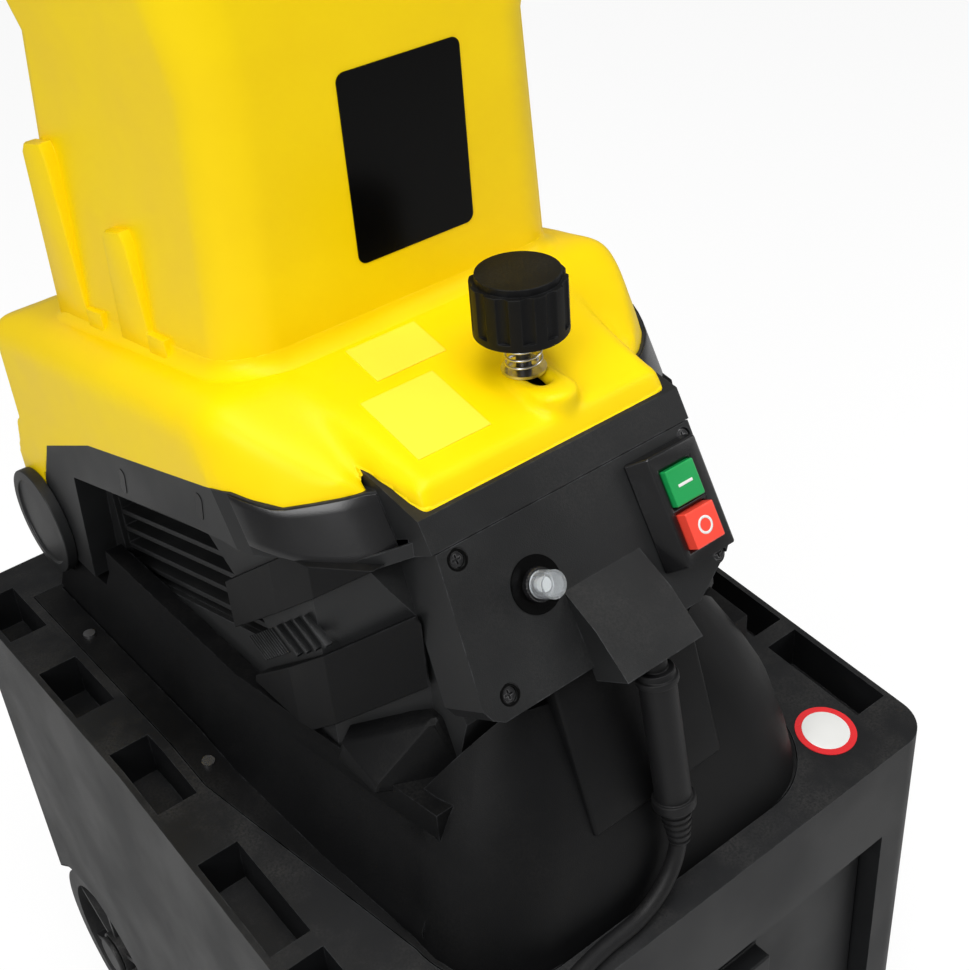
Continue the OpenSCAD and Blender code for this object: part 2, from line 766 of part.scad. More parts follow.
module vent_grille_right() {
    color("#1c1d1f") vent_grille();
}
module vent_grille_left() {
    color("#1c1d1f") mirror([1, 0, 0]) vent_grille();
}
chute_z = 312;
chute_wall = 2.5;
chute_front = 14;
chute_rear = 140;
chute_knee = [77, 486];
function chute_outline(inset, up) = let (z = floor_z - shelf_t + up, d = chute_wall - inset)
    [on_cutter(eject_y - 0.5 - d, z), on_cutter(chamber_r + d, z), chute_knee + [d, 0],
    [chute_rear - inset, chute_z - up], [chute_front + inset, chute_z - up]];
module discharge_chute() {
    hw = eject_hw + 2 + chute_wall;
    color("#2b2d30") difference() {
        union() {
            side_prism(chute_outline(0, 0), hw);
            // flange under the shelf
            intersection() {
                at_cutter() block([-hw - 12, hw + 12], [eject_y - 2, chamber_r + 10],
                    [floor_z - shelf_t - 3, floor_z - shelf_t]);
                block([-hw - 12, hw + 12], [0, housing_rear - 20], [chute_z, 600]);
            }
        }
        side_prism(chute_outline(chute_wall, 1), hw - chute_wall);
    }
}

// ---- Cutting gear, along the motor axis ----
module cutter_chamber() {
    r = chamber_r + chamber_wall;
    color("#8f9499") at_cutter() difference() {
        union() {
            rod(r, floor_z, floor_z + floor_t);
            tube(r, chamber_r, floor_z, chamber_h);
        }
        rod(12, floor_z - 1, floor_z + floor_t + 1);
        block([-eject_hw, eject_hw], [eject_y, chamber_r - 2], [floor_z - 1, floor_z + floor_t + 1]);
        for (a = chamber_screw_angles) rotate([0, 0, a]) translate([chamber_r - 8, 0, 0])
            rod(2.5, floor_z - 1, 0);
        // notch for the feed throat's swing
        block([-feed_w / 2 - 8, feed_w / 2 + 8], [chamber_r - 20, r + 1], [throat_z - 5, chamber_h + 1]);
    }
}
chamber_screw_angles = [0, 180, 240, 300];
module counter_blade() {
    z0 = blade_t + counter_gap;
    color("#c9ccd0") at_cutter() intersection() {
        block([-chamber_r, -feed_w / 2 - 4], [4, 58], [z0, z0 + counter_t]);
        rod(chamber_r, 0, 40);
    }
}
blade_span = [22, 78];
blade_half = 15;
blade_screw_x = [34, 64];
module each_blade() {
    for (a = [0, 180]) rotate([0, 0, a]) children();
}
module cutter_disc() {
    color("#a9adb2") at_cutter() difference() {
        union() {
            rod(disc_d / 2, -disc_t, 0);
            rod(hub_r, -disc_t - hub_l, 0);
        }
        rod(shaft_d / 2, -disc_t - hub_l - 1, 1);
        each_blade() block([blade_span[0] + 4, blade_span[1]], [blade_half, blade_half + 12],
            [-disc_t - 1, 1]);
        each_blade() for (x = blade_screw_x) translate([x, 0, 0]) rod(3, -disc_t - 1, 1);
    }
}
module disc_blades() {
    color("#d4d6d9") at_cutter() each_blade() difference() {
        translate([0, 0, 0]) rotate([90, 0, 90]) translate([0, 0, blade_span[0]])
            linear_extrude(blade_span[1] - blade_span[0])
            polygon([[-blade_half, 0], [blade_half - 3, 0], [blade_half, blade_t], [-blade_half, blade_t]]);
        for (x = blade_screw_x) translate([x, 0, 0]) {
            rod(3, -1, blade_t + 1);
            rod(5.5, blade_t - 2.5, blade_t + 1);
        }
    }
}
bolt_hole_l = 22;
module cutter_screws() {
    color("#3a3c3f") at_cutter() {
        each_blade() for (x = blade_screw_x) translate([x, 0, 0]) difference() {
            union() {
                rod(3, -disc_t, blade_t - 2.5);
                rod(5.5, blade_t - 2.5, blade_t);
            }
            translate([0, 0, blade_t - 2]) cylinder(r = 2.5, h = 3, $fn = 6);
        }
        rod(15, 0, 2.5);
        translate([0, 0, 2.5]) cylinder(r = 7.5, h = 5.5, $fn = 6);
        rod(4, -bolt_hole_l, 0);
    }
}

// ---- Motor ----
module motor_case() {
    z1 = case_top;
    color("#303236") at_cutter() difference() {
        union() {
            tube(motor_r, motor_r - case_wall, case_bot, z1);
            rod(motor_r, z1 - case_lid, z1);
            rod(bearing_r + 4, z1 - bearing_l - 1, z1);
        }
        rod(bearing_r, z1 - bearing_l - 2, z1 - 1.5);
        rod(11, z1 - 3, z1 + 1);
        for (a = [0:45:315]) rotate([0, 0, a]) block([26, 46], [-6, 6], [z1 - case_lid - 1, z1 - 3]);
    }
}
module motor_end_cap() {
    color("#303236") at_cutter() {
        difference() {
            union() {
                rod(motor_r - case_wall, case_bot, case_bot + cap_floor);
                rod(bearing_r + 4, case_bot, case_bot + cap_floor + bearing_l);
            }
            rod(bearing_r, case_bot + cap_floor, case_bot + 40);
            for (a = [0:45:315]) rotate([0, 0, a])
                block([26, 48], [-4, 4], [case_bot - 1, case_bot + cap_floor + 1]);
        }
    }
}
module stator_core() {
    color("#7d8085") at_cutter()
        tube(motor_r - case_wall, rotor_d / 2 + air_gap, core_bot, core_top);
}
module stator_windings() {
    color("#b4682f") at_cutter() {
        tube(motor_r - case_wall - 4, rotor_d / 2 + 5, core_top, winding_top);
        tube(motor_r - case_wall - 4, rotor_d / 2 + 5, winding_bot, core_bot);
    }
}
module motor_bearings() {
    color("#cfd2d6") at_cutter() {
        tube(bearing_r, shaft_d / 2 + shaft_fit, case_top - 1.5 - bearing_l + 1, case_top - 1.5);
        tube(bearing_r, shaft_d / 2 + shaft_fit, case_bot + cap_floor, case_bot + cap_floor + bearing_l);
    }
}
module motor_shaft() {
    color("#c9ccd0") at_cutter() difference() {
        rod(shaft_d / 2, case_bot + cap_floor + 1, 0);
        rod(4, -bolt_hole_l, 1);
    }
}
module rotor_core() {
    color("#8a8d92") at_cutter() tube(rotor_d / 2, shaft_d / 2, core_bot, core_top);
}
module commutator() {
    color("#b4682f") at_cutter() tube(commutator_r, shaft_d / 2, winding_bot - commutator_l, winding_bot - 1);
}
module motor_fan() {
    color("#3c3e42") at_cutter() {
        tube(15, shaft_d / 2, fan_top - fan_l, fan_top);
        tube(motor_r - case_wall - 8, 14, fan_top - fan_l, fan_top - fan_l + 2);
        for (a = [0:36:324]) rotate([0, 0, a])
            block([14, motor_r - case_wall - 10], [-1, 1], [fan_top - fan_l + 1, fan_top]);
    }
}
module brush_holders() {
    z0 = winding_bot - commutator_l;
    color("#7a6a3c") at_cutter() intersection() {
        both_sides() block([commutator_r + 0.3, motor_r], [-5, 5], [z0 + 1, z0 + commutator_l - 3]);
        rod(motor_r - case_wall, z0 - 5, z0 + 40);
    }
}

// ---- Control box ----
module control_outline(inset) {
    i = inset;
    polygon([[-84 + i, -band_w - seam - i], [-93 + i, -98], [-90 + i, -control_bottom + 4 + i],
        [-84, -control_bottom + i], [50, -control_bottom + i], [78 - i, -92], [84 - i, -86 + i / 2],
        [85 - i, -band_w - seam - i]]);
}
module control_box() {
    d = control_depth;
    t = control_wall;
    color("#26282b") difference() {
        at_panel() difference() {
            union() {
                difference() {
                    translate([0, 0, -d]) linear_extrude(d) control_outline(0);
                    translate([0, 0, -d - 1]) linear_extrude(d + 1 - t) control_outline(t);
                }
                for (p = control_screw_at) translate([p[0], -p[1], 0]) rod(6, -d, -t);
                hood();
            }
            for (p = control_screw_at) translate([p[0], -p[1], 0]) {
                rod(1.75, -d - 1, 1);
                rod(4.6, -4, 1);
            }
            block([switch_x - 12.5, switch_x + 12.5], [-(red_w + 14.5), -(green_w - 14.5)], [-t - 1, 1]);
            translate([breaker_at[0], -breaker_at[1], 0]) rod(neck_r, -t - 1, 1);
            // way from the hood into the box
            block([-hood_hw + 8, hood_hw - 8], [-control_bottom + 6, -hood_w[1]], [-t - 1, 1]);
        }
        along_sleeve() rod(sleeve_neck_r, sleeve_l, sleeve_l + 12.5);
    }
}
module hood() {
    difference() {
        translate([-hood_hw, 0, 0]) rotate([90, 0, 90]) linear_extrude(2 * hood_hw)
            polygon([[-hood_w[0], -1], [-hood_w[0], 0], [-hood_w[1], hood_h[1]], [-hood_w[2], hood_h[2]],
                [-hood_w[2], -control_wall], [-control_bottom + 1, -control_wall]]);
        translate([-hood_hw + 2.5, 0, 0]) rotate([90, 0, 90]) linear_extrude(2 * hood_hw - 5)
            polygon([[-hood_w[0] - 6, 0], [-hood_w[1], hood_h[1] - 2.5], [-hood_w[2] + 3, hood_h[2] - 2.5],
                [-hood_w[2] + 3, 0]]);
    }
}
module control_screws() {
    color("silver") at_panel() for (p = control_screw_at) translate([p[0], -p[1], 0]) difference() {
        union() {
            rod(4, -4, -1.4);
            rod(1.75, -control_depth - 10, -4);
        }
        for (a = [0, 90]) rotate([0, 0, a]) block([-2.5, 2.5], [-0.5, 0.5], [-2.6, 0]);
    }
}
module button_hole(w, z0, z1) {
    half = button_size / 2 + button_gap;
    block([switch_x - half, switch_x + half], [-w - half, -w + half], [z0, z1]);
}
module switch_frame() {
    top = green_w - 20;
    bottom = red_w + 18;
    color("#1c1d1f") at_panel() difference() {
        translate([0, -top, 0]) rotate([90, 0, 0]) linear_extrude(bottom - top)
            polygon([[switch_x - 23, 0], [switch_x - 15, frame_h], [switch_x + 19, frame_h],
                [switch_x + 21, 0]]);
        button_hole(green_w, -1, frame_h + 1);
        button_hole(red_w, -1, frame_h + 1);
    }
}
module switch_body() {
    color("#101012") at_panel() difference() {
        block([switch_x - 12.5, switch_x + 12.5], [-(red_w + 14.5), -(green_w - 14.5)], [-switch_depth, 0]);
        button_hole(green_w, -switch_well, 1);
        button_hole(red_w, -switch_well, 1);
    }
}
module switch_button(w, h) {
    half = button_size / 2;
    at_panel() block([switch_x - half, switch_x + half], [-w - half, -w + half],
        [-switch_well + button_travel + 1, h]);
}
module green_button() {
    color("#1f9a4a") switch_button(green_w, green_h);
}
module red_button() {
    color("#d3252b") switch_button(red_w, red_h);
}
module at_breaker() {
    at_panel() translate([breaker_at[0], -breaker_at[1], 0]) children();
}
plate_t = 0.6;
module breaker_plate() {
    color("#101012") at_breaker() tube(breaker_plate_d / 2, neck_r, 0, plate_t);
}
module breaker_nut() {
    color("#c9ccd0") at_breaker() tube(8.5, neck_r, plate_t, plate_t + nut_h);
}
module breaker_body() {
    color("#17181a") at_breaker() difference() {
        union() {
            block([-8, 8], [-14, 14], [-30, -3]);
            rod(neck_r, -3, plate_t + nut_h);
        }
        rod(reset_r + 0.3, -8, plate_t + nut_h + 1);
    }
}
module reset_button() {
    color("#e8e8e6") at_breaker() rod(reset_r, -6, plate_t + nut_h + 2.5);
}
module breaker_boot() {
    z0 = plate_t + nut_h;
    color("#dfe6ea") at_breaker() difference() {
        rod(boot_r, z0, z0 + boot_h);
        rod(boot_r - boot_wall, z0 - 1, z0 + boot_h - boot_wall);
    }
}

// ---- Cord ----
module along_sleeve() {
    translate(sleeve_end) rotate([-sleeve_lean, 0, 0]) children();
}
module cord_sleeve() {
    color("#1b1b1c") along_sleeve() {
        rod(sleeve_d / 2, 0, sleeve_l + 3);
        rod(sleeve_d / 2 + 2, 0, 6);
        rod(sleeve_d / 2 + 1.6, sleeve_l - 5, sleeve_l - 1);
        rod(sleeve_neck_r, sleeve_l, sleeve_l + 12);
    }
}
// A ring of n points round c, square to the direction d; u is any direction well away from d
function ring(c, d, u, r, n) = let (a = cross(d, u) / norm(cross(d, u)), b = cross(d, a))
    [for (k = [0:n - 1]) c + r * (cos(k * 360 / n) * a + sin(k * 360 / n) * b)];
cord_sides = 10;
function route_dir(p, i) = let (v = p[min(i + 1, len(p) - 1)] - p[max(i - 1, 0)]) v / norm(v);
module sweep(path, u, r, n) {
    m = len(path);
    rings = [for (i = [0:m - 1]) ring(path[i], route_dir(path, i), u, r, n)];
    points = [for (g = rings) for (p = g) p];
    sides = [for (i = [0:m - 2], k = [0:n - 1])
        [i * n + k, i * n + (k + 1) % n, (i + 1) * n + (k + 1) % n, (i + 1) * n + k]];
    ends = [[for (k = [n - 1:-1:0]) k], [for (k = [0:n - 1]) (m - 1) * n + k]];
    polyhedron(points, concat(sides, ends));
}
module power_cord() {
    color("#161617") sweep(cord_route, [0, 1, 0], cord_r, cord_sides);
}
module plug_body() {
    color("#161617") translate(cord_end) {
        rod(8, -22, 0);
        rod(plug_d / 2, -plug_l, -20);
    }
}
module plug_pins() {
    color("silver") for (x = [-9.5, 9.5]) translate(cord_end + [x, 0, -plug_l - 17]) {
        rod(2.4, 0, 17);
        sphere(r = 2.4);
    }
}

// ---- Cover and hopper ----
cover_hw = wing_hw;
cover_top = [[-156 + 0.25, 617.4], deck_front, deck_rear, ledge_rear, [cover_rear - 6, 598],
    [cover_rear, 560]];
cover_rear_foot = [[cover_rear, 500], [204.5, 500], [181, 530.6]];
lid_line = [for (i = [0:2]) seam_line[i] + [0, lid_gap]];
cover_outline = concat(cover_top, cover_rear_foot, reversed(lid_line));
shoulder_outline = concat([[-150, 618.2], [-150, 655], deck_rear], [for (i = [3:5]) cover_top[i]],
    cover_rear_foot, [lid_line[2], lid_line[1]], reversed([for (q = side_seam) q + [0, lid_gap]]));
// A long bar with rounded top edges, its top passing through a point at a slope
module rounded_bar(at, slope, inset) {
    hw = cover_hw - inset;
    r = side_r - inset;
    translate([0, at[0], at[1]]) rotate([slope, 0, 0]) translate([0, 400, -inset]) rotate([90, 0, 0])
        linear_extrude(800) {
            for (side = [-1, 1]) translate([side * (hw - r), -r]) circle(r);
            translate([-hw, -400]) square([2 * hw, 400 - r]);
            translate([-hw + r, -400]) square([2 * hw - 2 * r, 400]);
        }
}
module cover_plan(inset) {
    hw = cover_hw - inset;
    polygon([[-hw, -170], [hw, -170], [hw, cover_rear - 20], [hw - 20, cover_rear - inset],
        [-hw + 20, cover_rear - inset], [-hw, cover_rear - 20]]);
}
// Sides of the cover below the slope of the shoulders
module shoulders(outline, x0, x1, inset) {
    intersection() {
        side_prism(outline, (x1 - x0) / 2, (x0 + x1) / 2);
        rounded_bar(deck_rear, atan(ledge_slope), inset);
        rounded_bar(shoulder_top, shoulder_slope, inset);
    }
}
// Raised deck between leaning flanks
module raised_deck(outline, inset) {
    hw = deck_foot_hw - inset;
    intersection() {
        side_prism(outline, hw);
        union() {
            translate([0, shoulder_top[0], shoulder_top[1] - inset]) rotate([shoulder_slope, 0, 0])
                rotate([90, 0, 0]) linear_extrude(140)
                polygon([[-hw, -60], [-hw, 0], [-hw + 30 * deck_flank, 30], [hw - 30 * deck_flank, 30],
                    [hw, 0], [hw, -60]]);
            block([-hw, hw], [shoulder_top[0] - 3, 300], [500, 700]);
        }
    }
}
module cover_solid(top, bottom, sides, inset) {
    difference() {
        intersection() {
            union() {
                raised_deck(concat(top, bottom), inset);
                both_sides() shoulders(sides, deck_foot_hw - inset, cover_hw - inset, inset);
            }
            plan_prism(400, 700) cover_plan(inset);
        }
        both_sides() front_corner(inset);
    }
}
module cover_shell() {
    t = cover_wall;
    roof = [[-153, 600], under_front, under_rear, ledge_rear - [t, t], [cover_rear - 6 - t, 596],
        [cover_rear - t, 560]];
    difference() {
        cover_solid(cover_top, concat(cover_rear_foot, reversed(lid_line)), shoulder_outline, 0);
        cover_solid(roof, [[cover_rear - t, 400], [-100, 400]],
            concat([[-150, 400], [-150, 655]], [for (i = [2:5]) roof[i]], [[cover_rear - t, 400]]), t);
    }
}
// Rounded sections of the hopper: half width, front, rear, corner radius, height
hopper_base = [hopper_w / 2, hopper_front, hopper_rear, 30, 590];
hopper_waist = [waist_w / 2, hopper_front, waist_rear, 28, waist_z];
hopper_mouth = [mouth_w / 2, mouth_front, mouth_rear, 40, mouth_z];
ledge_slope = (ledge_rear[1] - deck_rear[1]) / (ledge_rear[0] - deck_rear[0]);
corner_steps = 6;
function section_ring(v, inset) = [for (q = [0:3]) for (k = [0:corner_steps])
    let (a = 90 * q + 90 * k / corner_steps, r = v[3] - inset)
    [(q == 0 || q == 3 ? 1 : -1) * (v[0] - inset - r) + r * cos(a),
        (q < 2 ? v[2] - inset - r : v[1] + inset + r) + r * sin(a), v[4]]];
function mix(a, b, t) = [for (i = [0:len(a) - 1]) a[i] + (b[i] - a[i]) * t];
funnel_slope = -0.024;
// The ring where the walls between rings a and b meet the plane z = z0 + slope * (y - hopper_front)
function cut_ring(a, b, z0, slope) = [for (i = [0:len(a) - 1]) let (d = b[i] - a[i])
    a[i] + d * (z0 + slope * (a[i][1] - hopper_front) - a[i][2]) / (d[2] - slope * d[1])];
function foot_ring(inset, z0, slope) =
    cut_ring(section_ring(hopper_base, inset), section_ring(hopper_waist, inset), z0, slope);
// A skin through rings of points; the last ring meets the first when closed, else both ends are capped
module loft(rings, closed) {
    m = len(rings);
    n = len(rings[0]);
    sides = [for (i = [0:m - (closed ? 1 : 2)], k = [0:n - 1])
        let (a = i * n, b = ((i + 1) % m) * n, j = (k + 1) % n)
            each [[a + k, b + k, b + j], [a + k, b + j, a + j]]];
    caps = closed ? [] : [[for (k = [0:n - 1]) k], [for (k = [n - 1:-1:0]) (m - 1) * n + k]];
    polyhedron([for (g = rings) each g], concat(sides, caps));
}
function ledge_ring(v, w, inset) = cut_ring(section_ring(v, inset), section_ring(w, inset), deck_rear[1],
    ledge_slope);
module hopper() {
    t = cover_wall;
    lip = mouth_lip / (mouth_z - waist_z);
    outer = section_ring(hopper_mouth, 0);
    waist = section_ring(hopper_waist, 0);
    lip_ring = section_ring(hopper_mouth, -4);
    color("#ffe014") loft([ledge_ring(hopper_base, hopper_waist, 0), waist, mix(outer, waist, lip),
        [for (p = lip_ring) p - [0, 0, mouth_lip]], lip_ring, section_ring(hopper_mouth, t),
        section_ring(hopper_waist, t), ledge_ring(hopper_base, hopper_waist, t)], true);
}
// Way from the hopper through the cover's ledge
module ledge_opening() {
    i = cover_wall / 2;
    loft([section_ring(hopper_base, i), mix(section_ring(hopper_base, i), section_ring(hopper_waist, i),
        0.6)], false);
}
module feed_funnel() {
    t = cover_wall;
    slot = [feed_w / 2, throat_y[0], throat_y[1], 2, funnel_z];
    top = deck_rear[1] + 6;
    low = section_ring(slot, -t - 2);
    color("#ffe014") difference() {
        union() {
            loft([foot_ring(t, top - 5, funnel_slope), foot_ring(t, top, funnel_slope),
                section_ring(slot, -t / 2),
                [for (p = low) p - [0, 0, 4]]], true);
            difference() {
                throat(t);
                at_cutter() block([-200, 200], [-200, 200], [-100, throat_z]);
            }
        }
        throat(0);
    }
}
module throat(grow) {
    block([-feed_w / 2 - grow, feed_w / 2 + grow], [throat_y[0] - grow, throat_y[1] + grow],
        [530, funnel_z + 1]);
}
module top_cover() {
    color("#ffe014") difference() {
        union() {
            difference() {
                cover_shell();
                ledge_opening();
            }
            lock_boss();
            both_sides() cover_ear();
        }
        lock_slot();
        both_sides() translate([0, hinge_y, hinge_z]) x_rod(hinge_pin_d / 2 + hinge_fit, 100, 200);
    }
}
module lock_boss() {
    translate([lock_x, 0, 0]) difference() {
        plan_prism(620, boss_z) {
            translate([0, boss_front]) circle(boss_r);
            translate([-boss_r, boss_front]) square([2 * boss_r, -98 - boss_front]);
        }
        side_prism([[-160, deck_z(-160) - 3], [-90, deck_z(-90) - 3], [-90, 600], [-160, 600]], 30);
    }
}
module lock_slot() {
    r = bolt_d / 2 + slot_gap;
    translate([lock_x, 0, 600]) linear_extrude(60) {
        translate([0, lock_y]) circle(r);
        translate([0, lock_y - 19 + r]) circle(r);
        translate([-r, lock_y - 19 + r]) square([2 * r, 19 - r]);
    }
}
module cover_ear() {
    t = 4;
    translate([cover_hw - t, 0, 0]) rotate([90, 0, 90]) linear_extrude(t) {
        translate([hinge_y, hinge_z]) circle(ear_r);
        polygon([[204.5, 500.5], [205, hinge_z], [hinge_y, hinge_z - 5], [hinge_y + ear_r - 0.5, hinge_z],
            [cover_rear - 2, 500.5], [cover_rear - 12, 530], [200, 505]]);
    }
}
label_t = 0.5;
plate_size = [75, 100];
plate_at = [8.5, deck_rear[1] + 86];
sound_label = [45, 48];
sound_at = [-44.5, -111.5];
picture_label = [44, 28];
picture_at = [-28, -66];
sign_r = 19;
sign_at = [stand_hw - 55, -stand_hl + 38];
module rating_plate() {
    color("#101012") translate([plate_at[0], hopper_front, plate_at[1]]) rotate([90, 0, 0])
        linear_extrude(label_t) rounded_rect(plate_size[0], plate_size[1], 5);
}
module deck_label(at, size) {
    at_deck(at[0], at[1]) translate([-size[0] / 2, -size[1] / 2, 0]) cube([size[0], size[1], label_t]);
}
module deck_labels() {
    color("#fff27a") {
        deck_label(sound_at, sound_label);
        deck_label(picture_at, picture_label);
    }
}
module step_sign() {
    color("#d3252b") at_rim(sign_at) rod(sign_r, 0, label_t);
}

// ---- Hinge, lock and safety switch ----
hinge_cap_t = 8;
hinge_pin_in = 6;
module hinge_pins() {
    color("silver") both_sides() translate([0, hinge_y, hinge_z])
        x_rod(hinge_pin_d / 2, housing_hw - housing_wall - hinge_pin_in, cover_hw + hinge_cap_t - 2);
}
module hinge_caps() {
    color("#303236") both_sides() translate([0, hinge_y, hinge_z]) difference() {
        x_rod(hinge_cap_d / 2, cover_hw + 0.4, cover_hw + hinge_cap_t);
        x_rod(hinge_pin_d / 2, cover_hw, cover_hw + hinge_cap_t - 2);
        x_rod(hinge_cap_d / 2 - 7, cover_hw + hinge_cap_t - 1.5, cover_hw + hinge_cap_t + 1);
    }
}
module lock_nut() {
    color("#c8a24a") translate([lock_x, lock_y, 0]) tube(8, bolt_d / 2 + 0.06, nut_top - nut_l, nut_top);
}
module lock_washer() {
    color("silver") translate([lock_x, lock_y, 0]) tube(12, bolt_d / 2 + 0.4, boss_z, boss_z + washer_t);
}
spring_steps = 14;
module lock_spring() {
    n = spring_steps * spring_turns;
    z0 = spring_z0 + spring_wire / 2;
    rise = spring_l - spring_wire;
    path = [for (i = [0:n]) let (a = 360 * i / spring_steps)
        [lock_x + spring_r * cos(a), lock_y + spring_r * sin(a), z0 + rise * i / n]];
    color("silver") sweep(path, [0, 0, 1], spring_wire / 2 - 0.05, 8);
}
module spring_seat() {
    color("silver") translate([lock_x, lock_y, 0]) tube(12, bolt_d / 2 + 0.08, seat_z0, seat_z0 + seat_t);
}
module lock_bolt() {
    color("#3a3c3f") translate([lock_x, lock_y, 0]) rod(bolt_d / 2, nut_top + bolt_clear, knob_z0 + 18);
}
flutes = 12;
module lock_knob() {
    color("#1b1b1c") translate([lock_x, lock_y, knob_z0]) difference() {
        union() {
            cylinder(r = knob_d / 2, h = knob_h - 4);
            cylinder(r = knob_d / 2 - 3, h = knob_h);
        }
        for (a = [0:360 / flutes:359]) rotate([0, 0, a])
            translate([knob_d / 2 + 3.4, 0, 4]) cylinder(r = 5, h = knob_h, $fn = 24);
        translate([0, 0, -1]) cylinder(r = bolt_d / 2, h = 19);
    }
}
key_x = -40;
key_y = -118;
key_t = 6;
key_hole_x = [key_x - 5, key_x + 5];
key_hole_y = [key_y - 6, key_y + 18];
switch_top = 612;
module safety_key() {
    y = [key_y - 4, key_y + 4];
    color("#1b1b1c") side_prism([[y[0], switch_top + 0.4], [y[1], switch_top + 0.4], [y[1], under_deck(y[1])],
        [y[0], under_deck(y[0])]], key_t / 2, key_x);
}
module safety_switch() {
    color("#3a3c3f") block([key_x - 12, key_x + 12], [key_y - 12, key_y + 20], [switch_top - 10, switch_top]);
}

chassis();
front_feet();
collection_box();
axle();
wheel_left();
wheel_right();
hub_caps();
lower_housing();
housing_screws();
motor_housing();
corner_guards();
vent_grille_left();
vent_grille_right();
discharge_chute();
cutter_chamber();
counter_blade();
cutter_disc();
disc_blades();
cutter_screws();
motor_case();
motor_end_cap();
stator_core();
stator_windings();
motor_bearings();
motor_shaft();
rotor_core();
commutator();
motor_fan();
brush_holders();
control_box();
control_screws();
switch_frame();
switch_body();
green_button();
red_button();
breaker_plate();
breaker_nut();
breaker_body();
reset_button();
breaker_boot();
cord_sleeve();
power_cord();
plug_body();
plug_pins();
top_cover();
hopper();
feed_funnel();
rating_plate();
deck_labels();
step_sign();
hinge_pins();
hinge_caps();
lock_nut();
lock_washer();
lock_spring();
spring_seat();
lock_bolt();
lock_knob();
safety_switch();
safety_key();
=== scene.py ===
# Electric garden shredder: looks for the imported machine.  Metres, +Z up, front towards -Y.
import json
import math

import bpy
from mathutils import Matrix, Vector


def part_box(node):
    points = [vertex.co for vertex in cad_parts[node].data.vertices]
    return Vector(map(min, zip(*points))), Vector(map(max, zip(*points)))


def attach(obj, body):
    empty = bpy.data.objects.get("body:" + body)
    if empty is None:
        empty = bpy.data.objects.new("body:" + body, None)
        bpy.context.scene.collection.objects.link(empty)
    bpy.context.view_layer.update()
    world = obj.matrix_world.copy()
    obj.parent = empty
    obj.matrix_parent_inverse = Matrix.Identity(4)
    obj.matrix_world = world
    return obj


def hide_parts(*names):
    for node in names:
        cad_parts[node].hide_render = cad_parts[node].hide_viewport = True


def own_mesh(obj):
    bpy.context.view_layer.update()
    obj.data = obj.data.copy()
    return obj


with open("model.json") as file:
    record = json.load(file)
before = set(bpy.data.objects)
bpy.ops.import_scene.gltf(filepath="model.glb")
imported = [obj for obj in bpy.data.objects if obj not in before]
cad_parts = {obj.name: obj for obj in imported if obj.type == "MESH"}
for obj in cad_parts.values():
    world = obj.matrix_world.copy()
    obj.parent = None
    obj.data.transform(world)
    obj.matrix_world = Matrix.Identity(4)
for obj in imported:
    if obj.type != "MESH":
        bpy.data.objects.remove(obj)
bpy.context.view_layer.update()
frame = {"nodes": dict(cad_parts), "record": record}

NODES = frame["nodes"]
MM = 0.001
WELD_DISTANCE = 0.00002     # vertices closer than this are one


# ---- Material groups ----
def new_group(name, inputs, outputs):
    group = bpy.data.node_groups.new(name, "ShaderNodeTree")
    for label, kind, value in inputs:
        socket = group.interface.new_socket(label, in_out="INPUT", socket_type=kind)
        socket.default_value = value
    for label, kind in outputs:
        group.interface.new_socket(label, in_out="OUTPUT", socket_type=kind)
    start = group.nodes.new("NodeGroupInput")
    end = group.nodes.new("NodeGroupOutput")
    return group, start, end


def noise_node(group, coords, scale, detail=2.0, rough=0.5):
    node = group.nodes.new("ShaderNodeTexNoise")
    node.inputs["Scale"].default_value = scale
    node.inputs["Detail"].default_value = detail
    node.inputs["Roughness"].default_value = rough
    group.links.new(coords, node.inputs["Vector"])
    return node


def math_node(group, operation, a, b=None, clamp=False):
    node = group.nodes.new("ShaderNodeMath")
    node.operation = operation
    node.use_clamp = clamp
    for i, value in enumerate((a, b)):
        if value is None:
            continue
        if isinstance(value, (int, float)):
            node.inputs[i].default_value = value
        else:
            group.links.new(value, node.inputs[i])
    return node.outputs[0]


def range_node(group, value, low, high, to_low=0.0, to_high=1.0):
    node = group.nodes.new("ShaderNodeMapRange")
    node.inputs["From Min"].default_value = low
    node.inputs["From Max"].default_value = high
    node.inputs["To Min"].default_value = to_low
    node.inputs["To Max"].default_value = to_high
    group.links.new(value, node.inputs["Value"])
    return node.outputs["Result"]


def build_grain_group():
    """Moulded grain: a fine height and a slow shade change."""
    group, start, end = new_group("moulded_grain", [("Grain Scale", "NodeSocketFloat", 1800.0)],
                                  [("Height", "NodeSocketFloat"), ("Shade", "NodeSocketFloat")])
    coords = group.nodes.new("ShaderNodeTexCoord").outputs["Object"]
    fine = noise_node(group, coords, 1800.0, 1.0)
    group.links.new(start.outputs["Grain Scale"], fine.inputs["Scale"])
    slow = noise_node(group, coords, 14.0, 3.0)
    group.links.new(fine.outputs["Fac"], end.inputs["Height"])
    group.links.new(range_node(group, slow.outputs["Fac"], 0.35, 0.65), end.inputs["Shade"])
    return group


